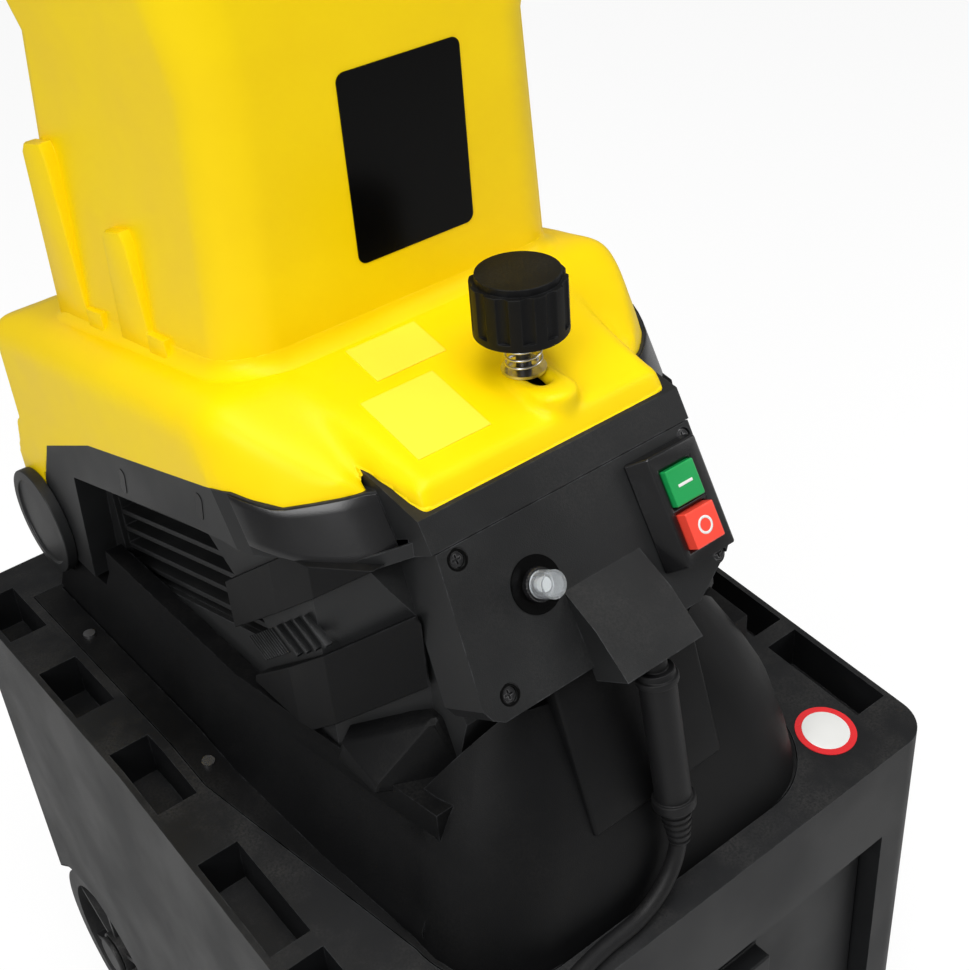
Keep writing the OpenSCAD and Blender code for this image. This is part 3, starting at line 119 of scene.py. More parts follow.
def build_edge_group():
    """Painted edge highlight and wear: a mask of outer edges, broken up by noise."""
    group, start, end = new_group("edge_highlight_and_wear", [("Width", "NodeSocketFloat", 0.002)], [("Mask", "NodeSocketFloat")])
    bevel = group.nodes.new("ShaderNodeBevel")
    bevel.samples = 4
    group.links.new(start.outputs["Width"], bevel.inputs["Radius"])
    geometry = group.nodes.new("ShaderNodeNewGeometry")
    dot = group.nodes.new("ShaderNodeVectorMath")
    dot.operation = "DOT_PRODUCT"
    group.links.new(bevel.outputs["Normal"], dot.inputs[0])
    group.links.new(geometry.outputs["Normal"], dot.inputs[1])
    edge = range_node(group, dot.outputs["Value"], 0.98, 0.86)
    coords = group.nodes.new("ShaderNodeTexCoord").outputs["Object"]
    patches = noise_node(group, coords, 90.0, 4.0, 0.7)
    broken = range_node(group, patches.outputs["Fac"], 0.42, 0.62)
    group.links.new(math_node(group, "MULTIPLY", edge, broken, clamp=True), end.inputs["Mask"])
    return group


def build_dust_group():
    """Dust: a mask that gathers in patches on surfaces that face up."""
    group, start, end = new_group("dust", [("Amount", "NodeSocketFloat", 0.3)], [("Mask", "NodeSocketFloat")])
    coords = group.nodes.new("ShaderNodeTexCoord").outputs["Object"]
    patches = noise_node(group, coords, 22.0, 6.0, 0.65)
    specks = noise_node(group, coords, 700.0, 2.0, 0.6)
    geometry = group.nodes.new("ShaderNodeNewGeometry")
    split = group.nodes.new("ShaderNodeSeparateXYZ")
    group.links.new(geometry.outputs["Normal"], split.inputs[0])
    up = range_node(group, split.outputs["Z"], 0.1, 1.0, 0.15, 1.0)
    spread = math_node(group, "MULTIPLY", range_node(group, patches.outputs["Fac"], 0.45, 0.75),
                       range_node(group, specks.outputs["Fac"], 0.35, 0.6))
    mask = math_node(group, "MULTIPLY", math_node(group, "MULTIPLY", spread, up), start.outputs["Amount"], clamp=True)
    group.links.new(mask, end.inputs["Mask"])
    return group


GROUPS = {"grain": build_grain_group(), "edge": build_edge_group(), "dust": build_dust_group()}


# ---- Materials ----
def place_group(tree, key, **values):
    node = tree.nodes.new("ShaderNodeGroup")
    node.node_tree = GROUPS[key]
    for label, value in values.items():
        node.inputs[label.replace("_", " ")].default_value = value
    return node


def mix_colour(tree, factor, a, b):
    node = tree.nodes.new("ShaderNodeMix")
    node.data_type = "RGBA"
    tree.links.new(factor, node.inputs["Factor"])
    for socket, value in ((node.inputs[6], a), (node.inputs[7], b)):
        if isinstance(value, tuple):
            socket.default_value = (*value, 1.0)
        else:
            tree.links.new(value, socket)
    return node.outputs[2]


def finish_material(name, colour, rough, shade=0.12, grain=1800.0, depth=0.0, edge=None, edge_width=0.0012,
                    dust=0.0, dust_colour=(0.35, 0.33, 0.30), metallic=0.0, coat=0.0, specular=0.5, ior=1.5):
    """A moulded, painted or metal finish: slow shade change, grain, outer edges lightened by a painted highlight and
    by wear, and dust.
    """
    material = bpy.data.materials.new(name)
    material.use_nodes = True
    tree = material.node_tree
    bsdf = tree.nodes["Principled BSDF"]
    bsdf.inputs["Metallic"].default_value = metallic
    bsdf.inputs["Specular IOR Level"].default_value = specular
    bsdf.inputs["Coat Weight"].default_value = coat
    bsdf.inputs["Coat Roughness"].default_value = 0.12
    bsdf.inputs["IOR"].default_value = ior
    texture = place_group(tree, "grain", Grain_Scale=grain)
    dark = tuple(c * (1.0 - shade) for c in colour)
    light = tuple(min(1.0, c * (1.0 + shade)) for c in colour)
    base = mix_colour(tree, texture.outputs["Shade"], dark, light)
    # edge is the lighter colour laid on outer edges: a painted highlight, partly wear.
    if edge:
        edge_light_and_wear = place_group(tree, "edge", Width=edge_width)
        base = mix_colour(tree, edge_light_and_wear.outputs["Mask"], base, edge)
    if dust:
        layer = place_group(tree, "dust", Amount=dust)
        base = mix_colour(tree, layer.outputs["Mask"], base, dust_colour)
    tree.links.new(base, bsdf.inputs["Base Color"])
    tree.links.new(range_node(tree, texture.outputs["Shade"], 0.0, 1.0, rough * 0.88, min(1.0, rough * 1.12)),
                   bsdf.inputs["Roughness"])
    if depth:
        bump = tree.nodes.new("ShaderNodeBump")
        bump.inputs["Strength"].default_value = depth
        bump.inputs["Distance"].default_value = 0.0002
        tree.links.new(texture.outputs["Height"], bump.inputs["Height"])
        tree.links.new(bump.outputs["Normal"], bsdf.inputs["Normal"])
    return material


def clear_material(name, colour, rough):
    material = bpy.data.materials.new(name)
    material.use_nodes = True
    tree = material.node_tree
    bsdf = tree.nodes["Principled BSDF"]
    bsdf.inputs["Metallic"].default_value = 0.0
    bsdf.inputs["Transmission Weight"].default_value = 0.85
    bsdf.inputs["IOR"].default_value = 1.42
    texture = place_group(tree, "grain", Grain_Scale=300.0)
    base = mix_colour(tree, texture.outputs["Shade"], tuple(c * 0.95 for c in colour), colour)
    tree.links.new(base, bsdf.inputs["Base Color"])
    tree.links.new(range_node(tree, texture.outputs["Shade"], 0.0, 1.0, rough * 0.8, rough * 1.2),
                   bsdf.inputs["Roughness"])
    return material


YELLOW = (1.0, 0.70, 0.0)
# Each edge colour is the painted highlight and wear on that finish's outer edges.
MATERIALS = {
    "cover_yellow": finish_material("cover_yellow", YELLOW, 0.40, shade=0.03, grain=1500.0, depth=0.12,
                                    edge=(1.0, 0.80, 0.04), dust=0.02, specular=0.17),
    "stand_plastic": finish_material("stand_plastic", (0.0062, 0.0066, 0.0074), 0.50, shade=0.18, depth=0.35,
                                     edge=(0.035, 0.037, 0.04), dust=0.07, specular=0.28),
    "housing_plastic": finish_material("housing_plastic", (0.0125, 0.013, 0.0135), 0.46, shade=0.18, depth=0.4,
                                       edge=(0.06, 0.062, 0.066), dust=0.05, specular=0.27),
    "deep_black": finish_material("deep_black", (0.0030, 0.0031, 0.0034), 0.50, shade=0.2, depth=0.4,
                                  edge=(0.026, 0.027, 0.029), dust=0.03, specular=0.15),
    "black_gloss": finish_material("black_gloss", (0.006, 0.006, 0.0065), 0.24, shade=0.2, grain=1400.0, depth=0.2,
                                   edge=(0.03, 0.03, 0.032), specular=0.55),
    "wheel_plastic": finish_material("wheel_plastic", (0.014, 0.014, 0.015), 0.55, shade=0.2, depth=0.3,
                                     edge=(0.05, 0.05, 0.05), dust=0.2),
    "rubber": finish_material("rubber", (0.006, 0.006, 0.0065), 0.55, shade=0.2, grain=1200.0, depth=0.3, dust=0.04,
                              specular=0.25),
    "zinc_steel": finish_material("zinc_steel", (0.62, 0.62, 0.63), 0.28, shade=0.08, grain=900.0, depth=0.08,
                                  metallic=1.0),
    "black_steel": finish_material("black_steel", (0.05, 0.05, 0.052), 0.38, shade=0.2, metallic=0.8, depth=0.1,
                                   edge=(0.3, 0.3, 0.3)),
    "blade_steel": finish_material("blade_steel", (0.58, 0.59, 0.60), 0.30, shade=0.08, grain=500.0, depth=0.12,
                                   metallic=1.0),
    "cast_metal": finish_material("cast_metal", (0.42, 0.43, 0.44), 0.48, shade=0.1, grain=700.0, depth=0.4,
                                  metallic=0.9),
    "motor_paint": finish_material("motor_paint", (0.02, 0.02, 0.022), 0.35, shade=0.15, depth=0.1,
                                   edge=(0.2, 0.2, 0.2)),
    "core_steel": finish_material("core_steel", (0.30, 0.31, 0.32), 0.45, shade=0.2, grain=2500.0, depth=0.4,
                                  metallic=0.9),
    "copper": finish_material("copper", (0.72, 0.32, 0.12), 0.33, shade=0.15, grain=1600.0, depth=0.4, metallic=1.0),
    "brass": finish_material("brass", (0.75, 0.52, 0.20), 0.32, shade=0.1, depth=0.1, metallic=1.0),
    "fan_plastic": finish_material("fan_plastic", (0.03, 0.03, 0.032), 0.55, shade=0.1, depth=0.2),
    "button_green": finish_material("button_green", (0.012, 0.34, 0.085), 0.18, shade=0.08, depth=0.03, coat=0.3),
    "button_red": finish_material("button_red", (1.0, 0.075, 0.045), 0.18, shade=0.06, depth=0.03, coat=0.3),
    "button_white": finish_material("button_white", (0.80, 0.80, 0.78), 0.25, shade=0.05, depth=0.05),
    "label_dark": finish_material("label_dark", (0.0018, 0.0018, 0.0018), 0.24, shade=0.15, depth=0.03, specular=0.10),
    "label_yellow": finish_material("label_yellow", (1.0, 0.78, 0.05), 0.34, shade=0.03, depth=0.03, specular=0.2),
    "label_red": finish_material("label_red", (0.74, 0.025, 0.03), 0.28, shade=0.05, depth=0.05),
    "clear_rubber": clear_material("clear_rubber", (0.90, 0.93, 0.95), 0.12),
}


def dress(obj, material):
    obj.data.materials.clear()
    obj.data.materials.append(MATERIALS[material])


# ---- CAD nodes: rounded edges and finishes ----
EDGE_RADIUS = {"chassis": 2.0, "lower_housing": 1.2, "motor_housing": 1.4, "control_box": 2.6, "top_cover": 2.6,
               "hopper": 1.2, "feed_funnel": 1.0, "corner_guards": 1.4,
               "collection_box": 1.5, "discharge_chute": 1.0, "wheel_left": 1.5, "wheel_right": 1.5,
               "switch_frame": 2.4, "cutter_chamber": 0.8, "motor_case": 0.8, "hub_caps": 1.0, "front_feet": 1.5,
               "hinge_caps": 1.2, "lock_knob": 1.2, "plug_body": 2.0, "cord_sleeve": 0.8, "green_button": 0.8,
               "red_button": 0.8, "vent_grille_left": 0.6, "vent_grille_right": 0.6}


def deselect():
    if bpy.context.object and bpy.context.object.mode != "OBJECT":
        bpy.ops.object.mode_set(mode="OBJECT")
    bpy.ops.object.select_all(action="DESELECT")


def only(obj):
    deselect()
    obj.select_set(True)
    bpy.context.view_layer.objects.active = obj


# Smallest angle, in degrees, of an edge that is rounded
EDGE_ANGLE = {"motor_housing": 10, "corner_guards": 10}
USUAL_EDGE_ANGLE = 28


def edit_all():
    """Enters edit mode with the whole piece selected."""
    bpy.ops.object.mode_set(mode="EDIT")
    bpy.ops.mesh.select_all(action="SELECT")


def close_outwards():
    """Turns every face of the edited piece outwards and leaves edit mode."""
    bpy.ops.mesh.select_all(action="SELECT")
    bpy.ops.mesh.normals_make_consistent(inside=False)
    bpy.ops.object.mode_set(mode="OBJECT")


def fix_place():
    """Applies the selected pieces' place, turn and scale to their points."""
    bpy.ops.object.transform_apply(location=True, rotation=True, scale=True)


def mesh_object(name, points, faces):
    """A piece from points in metres, made the only selected one."""
    mesh = bpy.data.meshes.new(name)
    mesh.from_pydata(points, [], faces)
    obj = bpy.data.objects.new(name, mesh)
    bpy.context.scene.collection.objects.link(obj)
    only(obj)
    return obj


def in_metres(points):
    """Points in metres from points in millimetres."""
    return [tuple(v * MM for v in point) for point in points]


def round_edges(obj, radius):
    """Merges a node's loose triangles into faces and rounds its edges, with modifiers alone."""
    only(obj)
    if obj.data.has_custom_normals:
        bpy.ops.mesh.customdata_custom_splitnormals_clear()
    bpy.ops.object.shade_smooth()
    weld = obj.modifiers.new("weld", "WELD")
    weld.merge_threshold = WELD_DISTANCE
    flat = obj.modifiers.new("flat", "DECIMATE")
    flat.decimate_type = "DISSOLVE"
    flat.angle_limit = math.radians(1.0)
    bevel = obj.modifiers.new("edges", "BEVEL")
    bevel.width = radius * MM
    bevel.segments = 2
    bevel.limit_method = "ANGLE"
    bevel.angle_limit = math.radians(EDGE_ANGLE.get(obj.name, USUAL_EDGE_ANGLE))
    bevel.harden_normals = False
    obj.modifiers.new("shading", "WEIGHTED_NORMAL")


for part in frame["record"]["subparts"]:
    node = NODES[part["node"]]
    dress(node, part["material_slot"])
    if part["node"] in EDGE_RADIUS:
        round_edges(node, EDGE_RADIUS[part["node"]])
for name in ("corner_guards", "lower_housing", "lock_knob"):
    dress(NODES[name], "deep_black")
dress(NODES["control_screws"], "black_steel")


# ---- Modelling ----
PANEL_TILT = math.radians(30)
PANEL = Matrix.Translation((0, -156.3 * MM, 616.6 * MM)) @ Matrix(
    ((1, 0, 0), (0, math.sin(PANEL_TILT), -math.cos(PANEL_TILT)),
     (0, math.cos(PANEL_TILT), math.sin(PANEL_TILT)))).to_4x4()


def on_panel(x, down, out=0.0):
    """A frame on the control panel: X to the right, Y up the panel, Z out of it."""
    return PANEL @ Matrix.Translation((x * MM, -down * MM, out * MM))


def settle(obj, name, body, finish, place=None, angle=35):
    """Puts a finished piece in its place, smooths it, and gives it its body and its finish."""
    if place is not None:
        obj.matrix_world = place
    only(obj)
    for modifier in list(obj.modifiers):
        bpy.ops.object.modifier_apply(modifier=modifier.name)
    fix_place()
    bpy.ops.object.shade_smooth_by_angle(angle=math.radians(angle))
    obj.name = obj.data.name = name
    dress(obj, finish)
    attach(obj, body)
    return obj


def rounded_block(x, y, z, radius, segments=3):
    """A block between two corners on each axis, in millimetres, with rounded edges."""
    deselect()
    bpy.ops.mesh.primitive_cube_add(size=1, location=[sum(v) / 2 * MM for v in (x, y, z)],
                                    scale=[(v[1] - v[0]) * MM for v in (x, y, z)])
    fix_place()
    edit_all()
    bpy.ops.mesh.bevel(offset=radius * MM, segments=segments, affect="EDGES")
    bpy.ops.object.mode_set(mode="OBJECT")
    return bpy.context.object


def turned(rings, sides=48):
    """A turned piece along +Z: a disc is drawn up through rings of (height, radius), in millimetres."""
    deselect()
    height, radius = rings[0]
    bpy.ops.mesh.primitive_circle_add(vertices=sides, radius=radius * MM, fill_type="NGON",
                                      location=(0, 0, height * MM))
    bpy.ops.object.transform_apply(location=True, rotation=False, scale=False)
    edit_all()
    for z, r in rings[1:]:
        bpy.ops.mesh.extrude_region_move(TRANSFORM_OT_translate={"value": (0, 0, (z - height) * MM)})
        bpy.ops.transform.resize(value=(r / radius, r / radius, 1), center_override=(0, 0, z * MM))
        height, radius = z, r
    close_outwards()
    return bpy.context.object


def plate(outline, thickness, radius, segments=2):
    """A flat outline in X and Y, in millimetres, drawn up to a thickness and rounded along its upper edge."""
    deselect()
    obj = mesh_object("plate", in_metres([(x, y, 0) for x, y in outline]), [list(range(len(outline)))])
    edit_all()
    bpy.ops.mesh.extrude_region_move(TRANSFORM_OT_translate={"value": (0, 0, thickness * MM)})
    if radius:
        bpy.ops.mesh.bevel(offset=radius * MM, segments=segments, affect="EDGES")
    close_outwards()
    return obj


def copied(obj, matrix):
    """A copy of a piece with its own mesh, moved by a matrix; a mirrored copy is turned right side out."""
    twin = obj.copy()
    twin.data = obj.data.copy()
    bpy.context.scene.collection.objects.link(twin)
    twin.matrix_world = matrix @ obj.matrix_world
    only(twin)
    fix_place()
    if matrix.determinant() < 0:
        bpy.ops.object.mode_set(mode="EDIT")
        bpy.ops.mesh.select_all(action="SELECT")
        bpy.ops.mesh.normals_make_consistent(inside=False)
        bpy.ops.object.mode_set(mode="OBJECT")
    return twin


def joined(pieces):
    only(pieces[0])
    for piece in pieces[1:]:
        piece.select_set(True)
    bpy.ops.object.join()
    return bpy.context.object


MIRROR_X = Matrix.Diagonal((-1, 1, 1, 1))
SIDE_LEFT = Matrix(((0, 0, -1), (1, 0, 0), (0, 1, 0))).to_4x4()    # X to the rear, Y up, Z out to the left


# ---- Cord, plug and strain relief ----
SLEEVE_END = Vector((0, -241, 430))
SLEEVE_DOWN = (SLEEVE_END - Vector((0, -227.5, 515))).normalized()
CORD_BEND = 40
CORD_DIAMETER = 9.5
CORD_SLOT = "rubber"


def cord_route():
    """The cord's way in millimetres: out of the sleeve, to the left along the stand's edge, and down its front."""
    points = [SLEEVE_END, SLEEVE_END + 12 * SLEEVE_DOWN]
    for turn in range(0, 91, 15):
        a = math.radians(turn)
        points.append(Vector((CORD_BEND * (math.cos(a) - 1), -243.8 - 5.5 * turn / 90,
                              372 + CORD_BEND * (1 - math.sin(a)))))
    points += [Vector(p) for p in ((-60, -250, 372), (-80, -252.5, 372), (-100, -257, 371.8), (-120, -262, 371.5),
                                   (-136, -266, 371.2))]
    for turn in range(0, 91, 15):
        a = math.radians(turn)
        points.append(Vector((-188 + CORD_BEND * (1 - math.sin(a)), -268, 371 - CORD_BEND * (1 - math.cos(a)))))
    points += [Vector(p) for p in ((-188, -268, 316), (-188, -269, 300), (-188, -272, 280), (-188, -276.5, 260),
                                   (-188, -280, 242), (-188, -281, 230), (-188, -281, 220))]
    return points


def build_cord():
    points = cord_route()
    curve = bpy.data.curves.new("power_cord_run", "CURVE")
    curve.dimensions = "3D"
    curve.resolution_u = 6
    curve.bevel_depth = CORD_DIAMETER / 2 * MM
    curve.bevel_resolution = 5
    curve.use_fill_caps = True
    spline = curve.splines.new("BEZIER")
    spline.bezier_points.add(len(points) - 1)
    for knot, point in zip(spline.bezier_points, points):
        knot.co = point * MM
        knot.handle_left_type = knot.handle_right_type = "AUTO"
    cord = bpy.data.objects.new("power_cord_run", curve)
    bpy.context.scene.collection.objects.link(cord)
    cord.data.materials.append(MATERIALS[CORD_SLOT])
    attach(cord, "stand")
    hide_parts("power_cord")


def build_strain_relief():
    """A ribbed taper that guides the cord out of the sleeve."""
    rings = [(-2, 9.0), (0, 9.4)]
    for i in range(5):
        low, r = 3.0 + 4.6 * i, 9.0 - 0.62 * i
        rings += [(low - 2.4, r + 0.2), (low - 0.2, r), (low + 0.2, r - 1.0), (low + 1.8, r - 1.1),
                  (low + 2.1, r - 0.3)]
    rings += [(24.5, 5.9), (25.5, 5.2)]
    piece = turned(rings)
    place = Matrix.Translation(SLEEVE_END * MM) @ SLEEVE_DOWN.to_track_quat("Z", "Y").to_matrix().to_4x4()
    settle(piece, "strain_relief", "stand", "rubber", place)


build_cord()
build_strain_relief()


# ---- Cover: edges and hollows that flow into each other ----
def mm_of(vertex):
    return [v / MM for v in vertex.co]


def smooth_where(obj, test, repeat, factor=0.5):
    """Smooths a piece's vertices where a test of their place, in millimetres, holds."""
    only(obj)
    for face in obj.data.polygons:
        face.select = False
    for edge in obj.data.edges:
        edge.select = False
    for vertex in obj.data.vertices:
        vertex.select = bool(test(*mm_of(vertex)))
    bpy.context.tool_settings.mesh_select_mode = (True, False, False)
    bpy.ops.object.mode_set(mode="EDIT")
    bpy.ops.mesh.vertices_smooth(factor=factor, repeat=repeat)
    bpy.ops.object.mode_set(mode="OBJECT")


# Lines from front to rear [y, z]: the wings' upper edge, and the cover's lower rim above it and above the control box
WING_SEAM = [(-121, 617.6), (-93, 610.6), (-68, 614.8), (-56, 613.05), (105, 564.6), (181, 529.6), (203, 493)]
SIDE_SEAM = [(-121, 618.2), (-93, 611.2), (-68, 615.4), (-56, 613.65), (105, 565.2), (181, 530.2), (204.3, 500.4)]
FRONT_SEAM = [(-175, 617.4), (-155.75, 617.4), (-101, 627.2), (-60, 614.9)]
FRONT_SEAM_HALF = 84
RIM_DROP = 5                # the rim is lowered by this before the cover is moulded, then cut back to its line
RIM_REACH = 40              # the rim's first height also holds this far in front of its line
COVER_VOXEL = 2.2
SIDE_CUT_FLOOR = 445
FRONT_CUT_FLOOR = 600


def height_on(line, y):
    """Height of a line at a distance from the front, or None past its rear end."""
    for (y0, z0), (y1, z1) in zip(line, line[1:]):
        if y <= y1:
            return z0 + (z1 - z0) * (max(y, y0) - y0) / (y1 - y0)
    return None


def side_seam_z(y):
    """Height of the joint between the cover and the wings."""
    z = height_on(WING_SEAM, y)
    return WING_SEAM[-1][1] if z is None else z


def rim_z(x, y):
    """Height of the cover's lower rim at a place, in millimetres, or None where it has no rim."""
    line = FRONT_SEAM if abs(x) < FRONT_SEAM_HALF else SIDE_SEAM
    return None if y < line[0][0] - RIM_REACH else height_on(line, y)


def cut_below(obj, line, x0, x1, floor):
    """Cuts away what lies under a line drawn across a piece from side to side."""
    outline = [(line[0][0] - 20, line[0][1])] + line + [(line[-1][0], floor), (line[0][0] - 20, floor)]
    cutter = plate(outline, x1 - x0, 0)
    cutter.matrix_world = Matrix.Translation((x1 * MM, 0, 0)) @ SIDE_LEFT
    only(cutter)
    fix_place()
    cut = obj.modifiers.new("rim", "BOOLEAN")
    cut.operation = "DIFFERENCE"
    cut.solver = "EXACT"
    cut.object = cutter
    only(obj)
    bpy.ops.object.modifier_apply(modifier="rim")
    bpy.data.objects.remove(cutter)


def build_moulded_cover():
    """The cover with rounded edges and hollows, cut to the same rim as its solid."""
    source = NODES["top_cover"]
    piece = source.copy()
    piece.data = source.data.copy()
    piece.parent = None
    piece.modifiers.clear()
    bpy.context.scene.collection.objects.link(piece)
    piece.matrix_world = source.matrix_world.copy()
    only(piece)
    edit_all()
    bpy.ops.mesh.remove_doubles(threshold=WELD_DISTANCE)
    bpy.ops.object.mode_set(mode="OBJECT")
    for vertex in piece.data.vertices:
        x, y, z = mm_of(vertex)
        rim = rim_z(x, y)
        if rim is not None and z < rim + 1.0:
            vertex.co.z -= RIM_DROP * MM
    skin = piece.modifiers.new("skin", "REMESH")
    skin.mode = "VOXEL"
    skin.voxel_size = COVER_VOXEL * MM
    bpy.ops.object.modifier_apply(modifier="skin")
    smooth_where(piece, lambda x, y, z: z > 500, 3)
    smooth_where(piece, lambda x, y, z: y < -18 and abs(x) > 74 and z > side_seam_z(y) + 9, 26)
    smooth_where(piece, lambda x, y, z: abs(x) > 100 and z > side_seam_z(y) + 12, 10)
    smooth_where(piece, lambda x, y, z: z > 500, 2)
    for x0, x1 in ((-150, -85), (85, 150)):
        cut_below(piece, SIDE_SEAM, x0, x1, SIDE_CUT_FLOOR)
    cut_below(piece, FRONT_SEAM, -87, 87, FRONT_CUT_FLOOR)
    settle(piece, "moulded_cover", "cover", "cover_yellow", angle=50)
    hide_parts("top_cover")


build_moulded_cover()


# ---- Wing fronts ----
CORNER_LINE = [(86.3, -110), (92, -107), (98, -103.7), (104, -99.2), (110, -94.2), (116, -88.7), (122, -82.8),
               (126.8, -77.6), (131, -72.2), (134.8, -66.4), (138, -60.2)]
CORNER_TILT = math.radians(-30)
CORNER_Z = 611              # height of the line's own origin
CORNER_WALL = 1.6
CORNER_PROUD = 0.7          # the faces stand this far out of the wing
CORNER_FOOT = 590           # the lower edge; it sags by CORNER_SAG at CORNER_MIDDLE and is level CORNER_SPAN away
CORNER_SAG = 5.0
CORNER_MIDDLE = 112
CORNER_SPAN = 27
SEAM_GAP = 0.6


def build_wing_fronts():
    """The glossy, grained corner of each wing, curved from the deck's side to the wing's crease."""
    rows = 6
    verts = []
    for i, (x, y) in enumerate(CORNER_LINE):
        a, b = CORNER_LINE[max(i - 1, 0)], CORNER_LINE[min(i + 1, len(CORNER_LINE) - 1)]
        out = Vector((b[1] - a[1], a[0] - b[0])).normalized() * CORNER_PROUD
        x, y = x + out.x, y + out.y
        arc = 1.0 - ((x - CORNER_MIDDLE) / CORNER_SPAN) ** 2
        low = CORNER_FOOT - CORNER_SAG * arc
        bottom = (low - CORNER_Z - y * math.sin(CORNER_TILT)) / math.cos(CORNER_TILT)
        top = 0.0
        for _ in range(8):
            world_y = y * math.cos(CORNER_TILT) - top * math.sin(CORNER_TILT)
            top = (side_seam_z(world_y) - SEAM_GAP - CORNER_Z - y * math.sin(CORNER_TILT)) / math.cos(CORNER_TILT)
        for j in range(rows + 1):
            up = bottom + (top - bottom) * j / rows
            verts.append((x * MM, (y * math.cos(CORNER_TILT) - up * math.sin(CORNER_TILT)) * MM,
                          (CORNER_Z + y * math.sin(CORNER_TILT) + up * math.cos(CORNER_TILT)) * MM))
    faces = [(i * (rows + 1) + j, (i + 1) * (rows + 1) + j, (i + 1) * (rows + 1) + j + 1, i * (rows + 1) + j + 1)
             for i in range(len(CORNER_LINE) - 1) for j in range(rows)]
    piece = mesh_object("wing_front_right", verts, faces)
    wall = piece.modifiers.new("wall", "SOLIDIFY")
    wall.thickness = CORNER_WALL * MM
    wall.offset = -1
    bpy.ops.object.modifier_apply(modifier="wall")
    edit_all()
    close_outwards()
    edge = piece.modifiers.new("edge", "BEVEL")
    edge.width = 0.5 * MM
    edge.segments = 2
    edge.limit_method = "ANGLE"
    edge.angle_limit = math.radians(50)
    right = settle(piece, "wing_front_right", "stand", "black_gloss", angle=40)
    settle(copied(right, MIRROR_X), "wing_front_left", "stand", "black_gloss", angle=40)


def build_painted_slot_shades():
    """Two thin dark ovals high on each wing: painted shade standing for the oval screw slots."""
    shade_ovals = []
    for y, z in ((-38, 593), (62, 560)):
        outline = [(3.4 * math.cos(math.radians(a)),
                    3.4 * math.sin(math.radians(a)) + (5.5 if 0 <= a <= 180 else -5.5)) for a in range(0, 360, 15)]
        shade_oval = plate(outline, 0.35, 0.0)
        shade_oval.matrix_world = Matrix.Translation((y * MM, z * MM, 0)) @ Matrix.Rotation(math.radians(12), 4, "Z")
        only(shade_oval)
        fix_place()
        shade_ovals.append(shade_oval)
    place = Matrix.Translation((-141 * MM, 0, 0)) @ SIDE_LEFT
    # label_dark here is painted shade: the slots' dark hollows are laid on as flat dark ovals.
    left = settle(joined(shade_ovals), "painted_slot_shade_left", "stand", "label_dark", place)
    settle(copied(left, MIRROR_X), "painted_slot_shade_right", "stand", "label_dark")


build_wing_fronts()
build_painted_slot_shades()


# ---- Hopper: foot fillet and side pads ----
HOPPER_FRONT = -43
HOPPER_BASE = (114, HOPPER_FRONT, 190, 30, 590)     # half width, front, rear, corner radius, height
HOPPER_WAIST = (102, HOPPER_FRONT, 172, 28, 792)
LEDGE_Z = 655               # height of the cover along the hopper's face
LEDGE_SLOPE = -44 / 250
DECK_SLOPE = 26.6 / 106.5


def ledge_z(y):
    """Height of the cover beside the hopper; it falls to the rear and to the front of the hopper's face."""
    return LEDGE_Z + (DECK_SLOPE if y < HOPPER_FRONT else LEDGE_SLOPE) * (y - HOPPER_FRONT)


def hopper_section(z, grow, steps=8):
    """Rounded outline of the hopper at a height, grown outwards."""
    t = (z - HOPPER_BASE[4]) / (HOPPER_WAIST[4] - HOPPER_BASE[4])
    half, front, rear, r = (a + (b - a) * t for a, b in zip(HOPPER_BASE[:4], HOPPER_WAIST[:4]))
    points = []
    for quarter in range(4):
        cx = (half - r) * (1 if quarter in (0, 3) else -1)
        cy = rear - r if quarter < 2 else front + r
        for k in range(steps + 1):
            a = math.radians(90 * quarter + 90 * k / steps)
            points.append((cx + (r + grow) * math.cos(a), cy + (r + grow) * math.sin(a)))
    return points


def build_foot_fillet(radius=9.0, steps=6, sunk=0.5, base=2.5, inside=1.5):
    """The concave sweep where the hopper rises out of the cover; its toe lies just under the cover's surface."""
    count = len(hopper_section(LEDGE_Z, 0))
    verts, faces = [], []
    for ring in range(steps + 1):
        a = math.radians(90 * ring / steps)
        grow, up = radius * (1 - math.sin(a)) + 0.05, radius * (1 - math.cos(a)) - sunk
        for i in range(count):
            x, y = hopper_section(LEDGE_Z, grow)[i]
            x, y = hopper_section(ledge_z(y) + up, grow)[i]
            verts.append((x * MM, y * MM, (ledge_z(y) + up) * MM))
    for grow, up in ((-inside, radius), (-inside, -base), (radius, -base)):
        for x, y in hopper_section(LEDGE_Z, grow):
            verts.append((x * MM, y * MM, (ledge_z(y) + up) * MM))
    rings = steps + 4
    for ring in range(rings):
        for i in range(count):
            j, up = (i + 1) % count, (ring + 1) % rings
            faces.append((ring * count + i, ring * count + j, up * count + j, up * count + i))
    piece = mesh_object("hopper_fillet", verts, faces)
    edit_all()
    bpy.ops.mesh.remove_doubles(threshold=0.00001)
    bpy.ops.mesh.normals_make_consistent(inside=False)
    bpy.ops.object.mode_set(mode="OBJECT")
    settle(piece, "hopper_fillet", "cover", "cover_yellow", angle=40)


def build_hopper_pads():
    """Raised pads with a foot on each side of the hopper, standing on the cover."""
    outlines = {"front": [(43, 634), (44, 650), (50, 702), (54, 708), (74, 703), (78, 698), (84, 628)],
                "rear": [(124, 620), (127, 640), (133, 728), (137, 735), (160, 730), (165, 724), (172, 614)],
                "front_foot": [(24, 640), (25, 655), (46, 652), (46, 636)],
                "rear_foot": [(104, 626), (105, 642), (126, 638), (126, 622)]}
    pads = [plate(outline, 9.0 if "foot" in key else 8.0, 2.2) for key, outline in outlines.items()]
    pad = joined(pads)
    place = Matrix.Translation((-105.6 * MM, 0, 0)) @ SIDE_LEFT
    left = settle(pad, "hopper_pads_left", "cover", "cover_yellow", place)
    right = copied(left, MIRROR_X)
    settle(right, "hopper_pads_right", "cover", "cover_yellow")


build_foot_fillet()
build_hopper_pads()


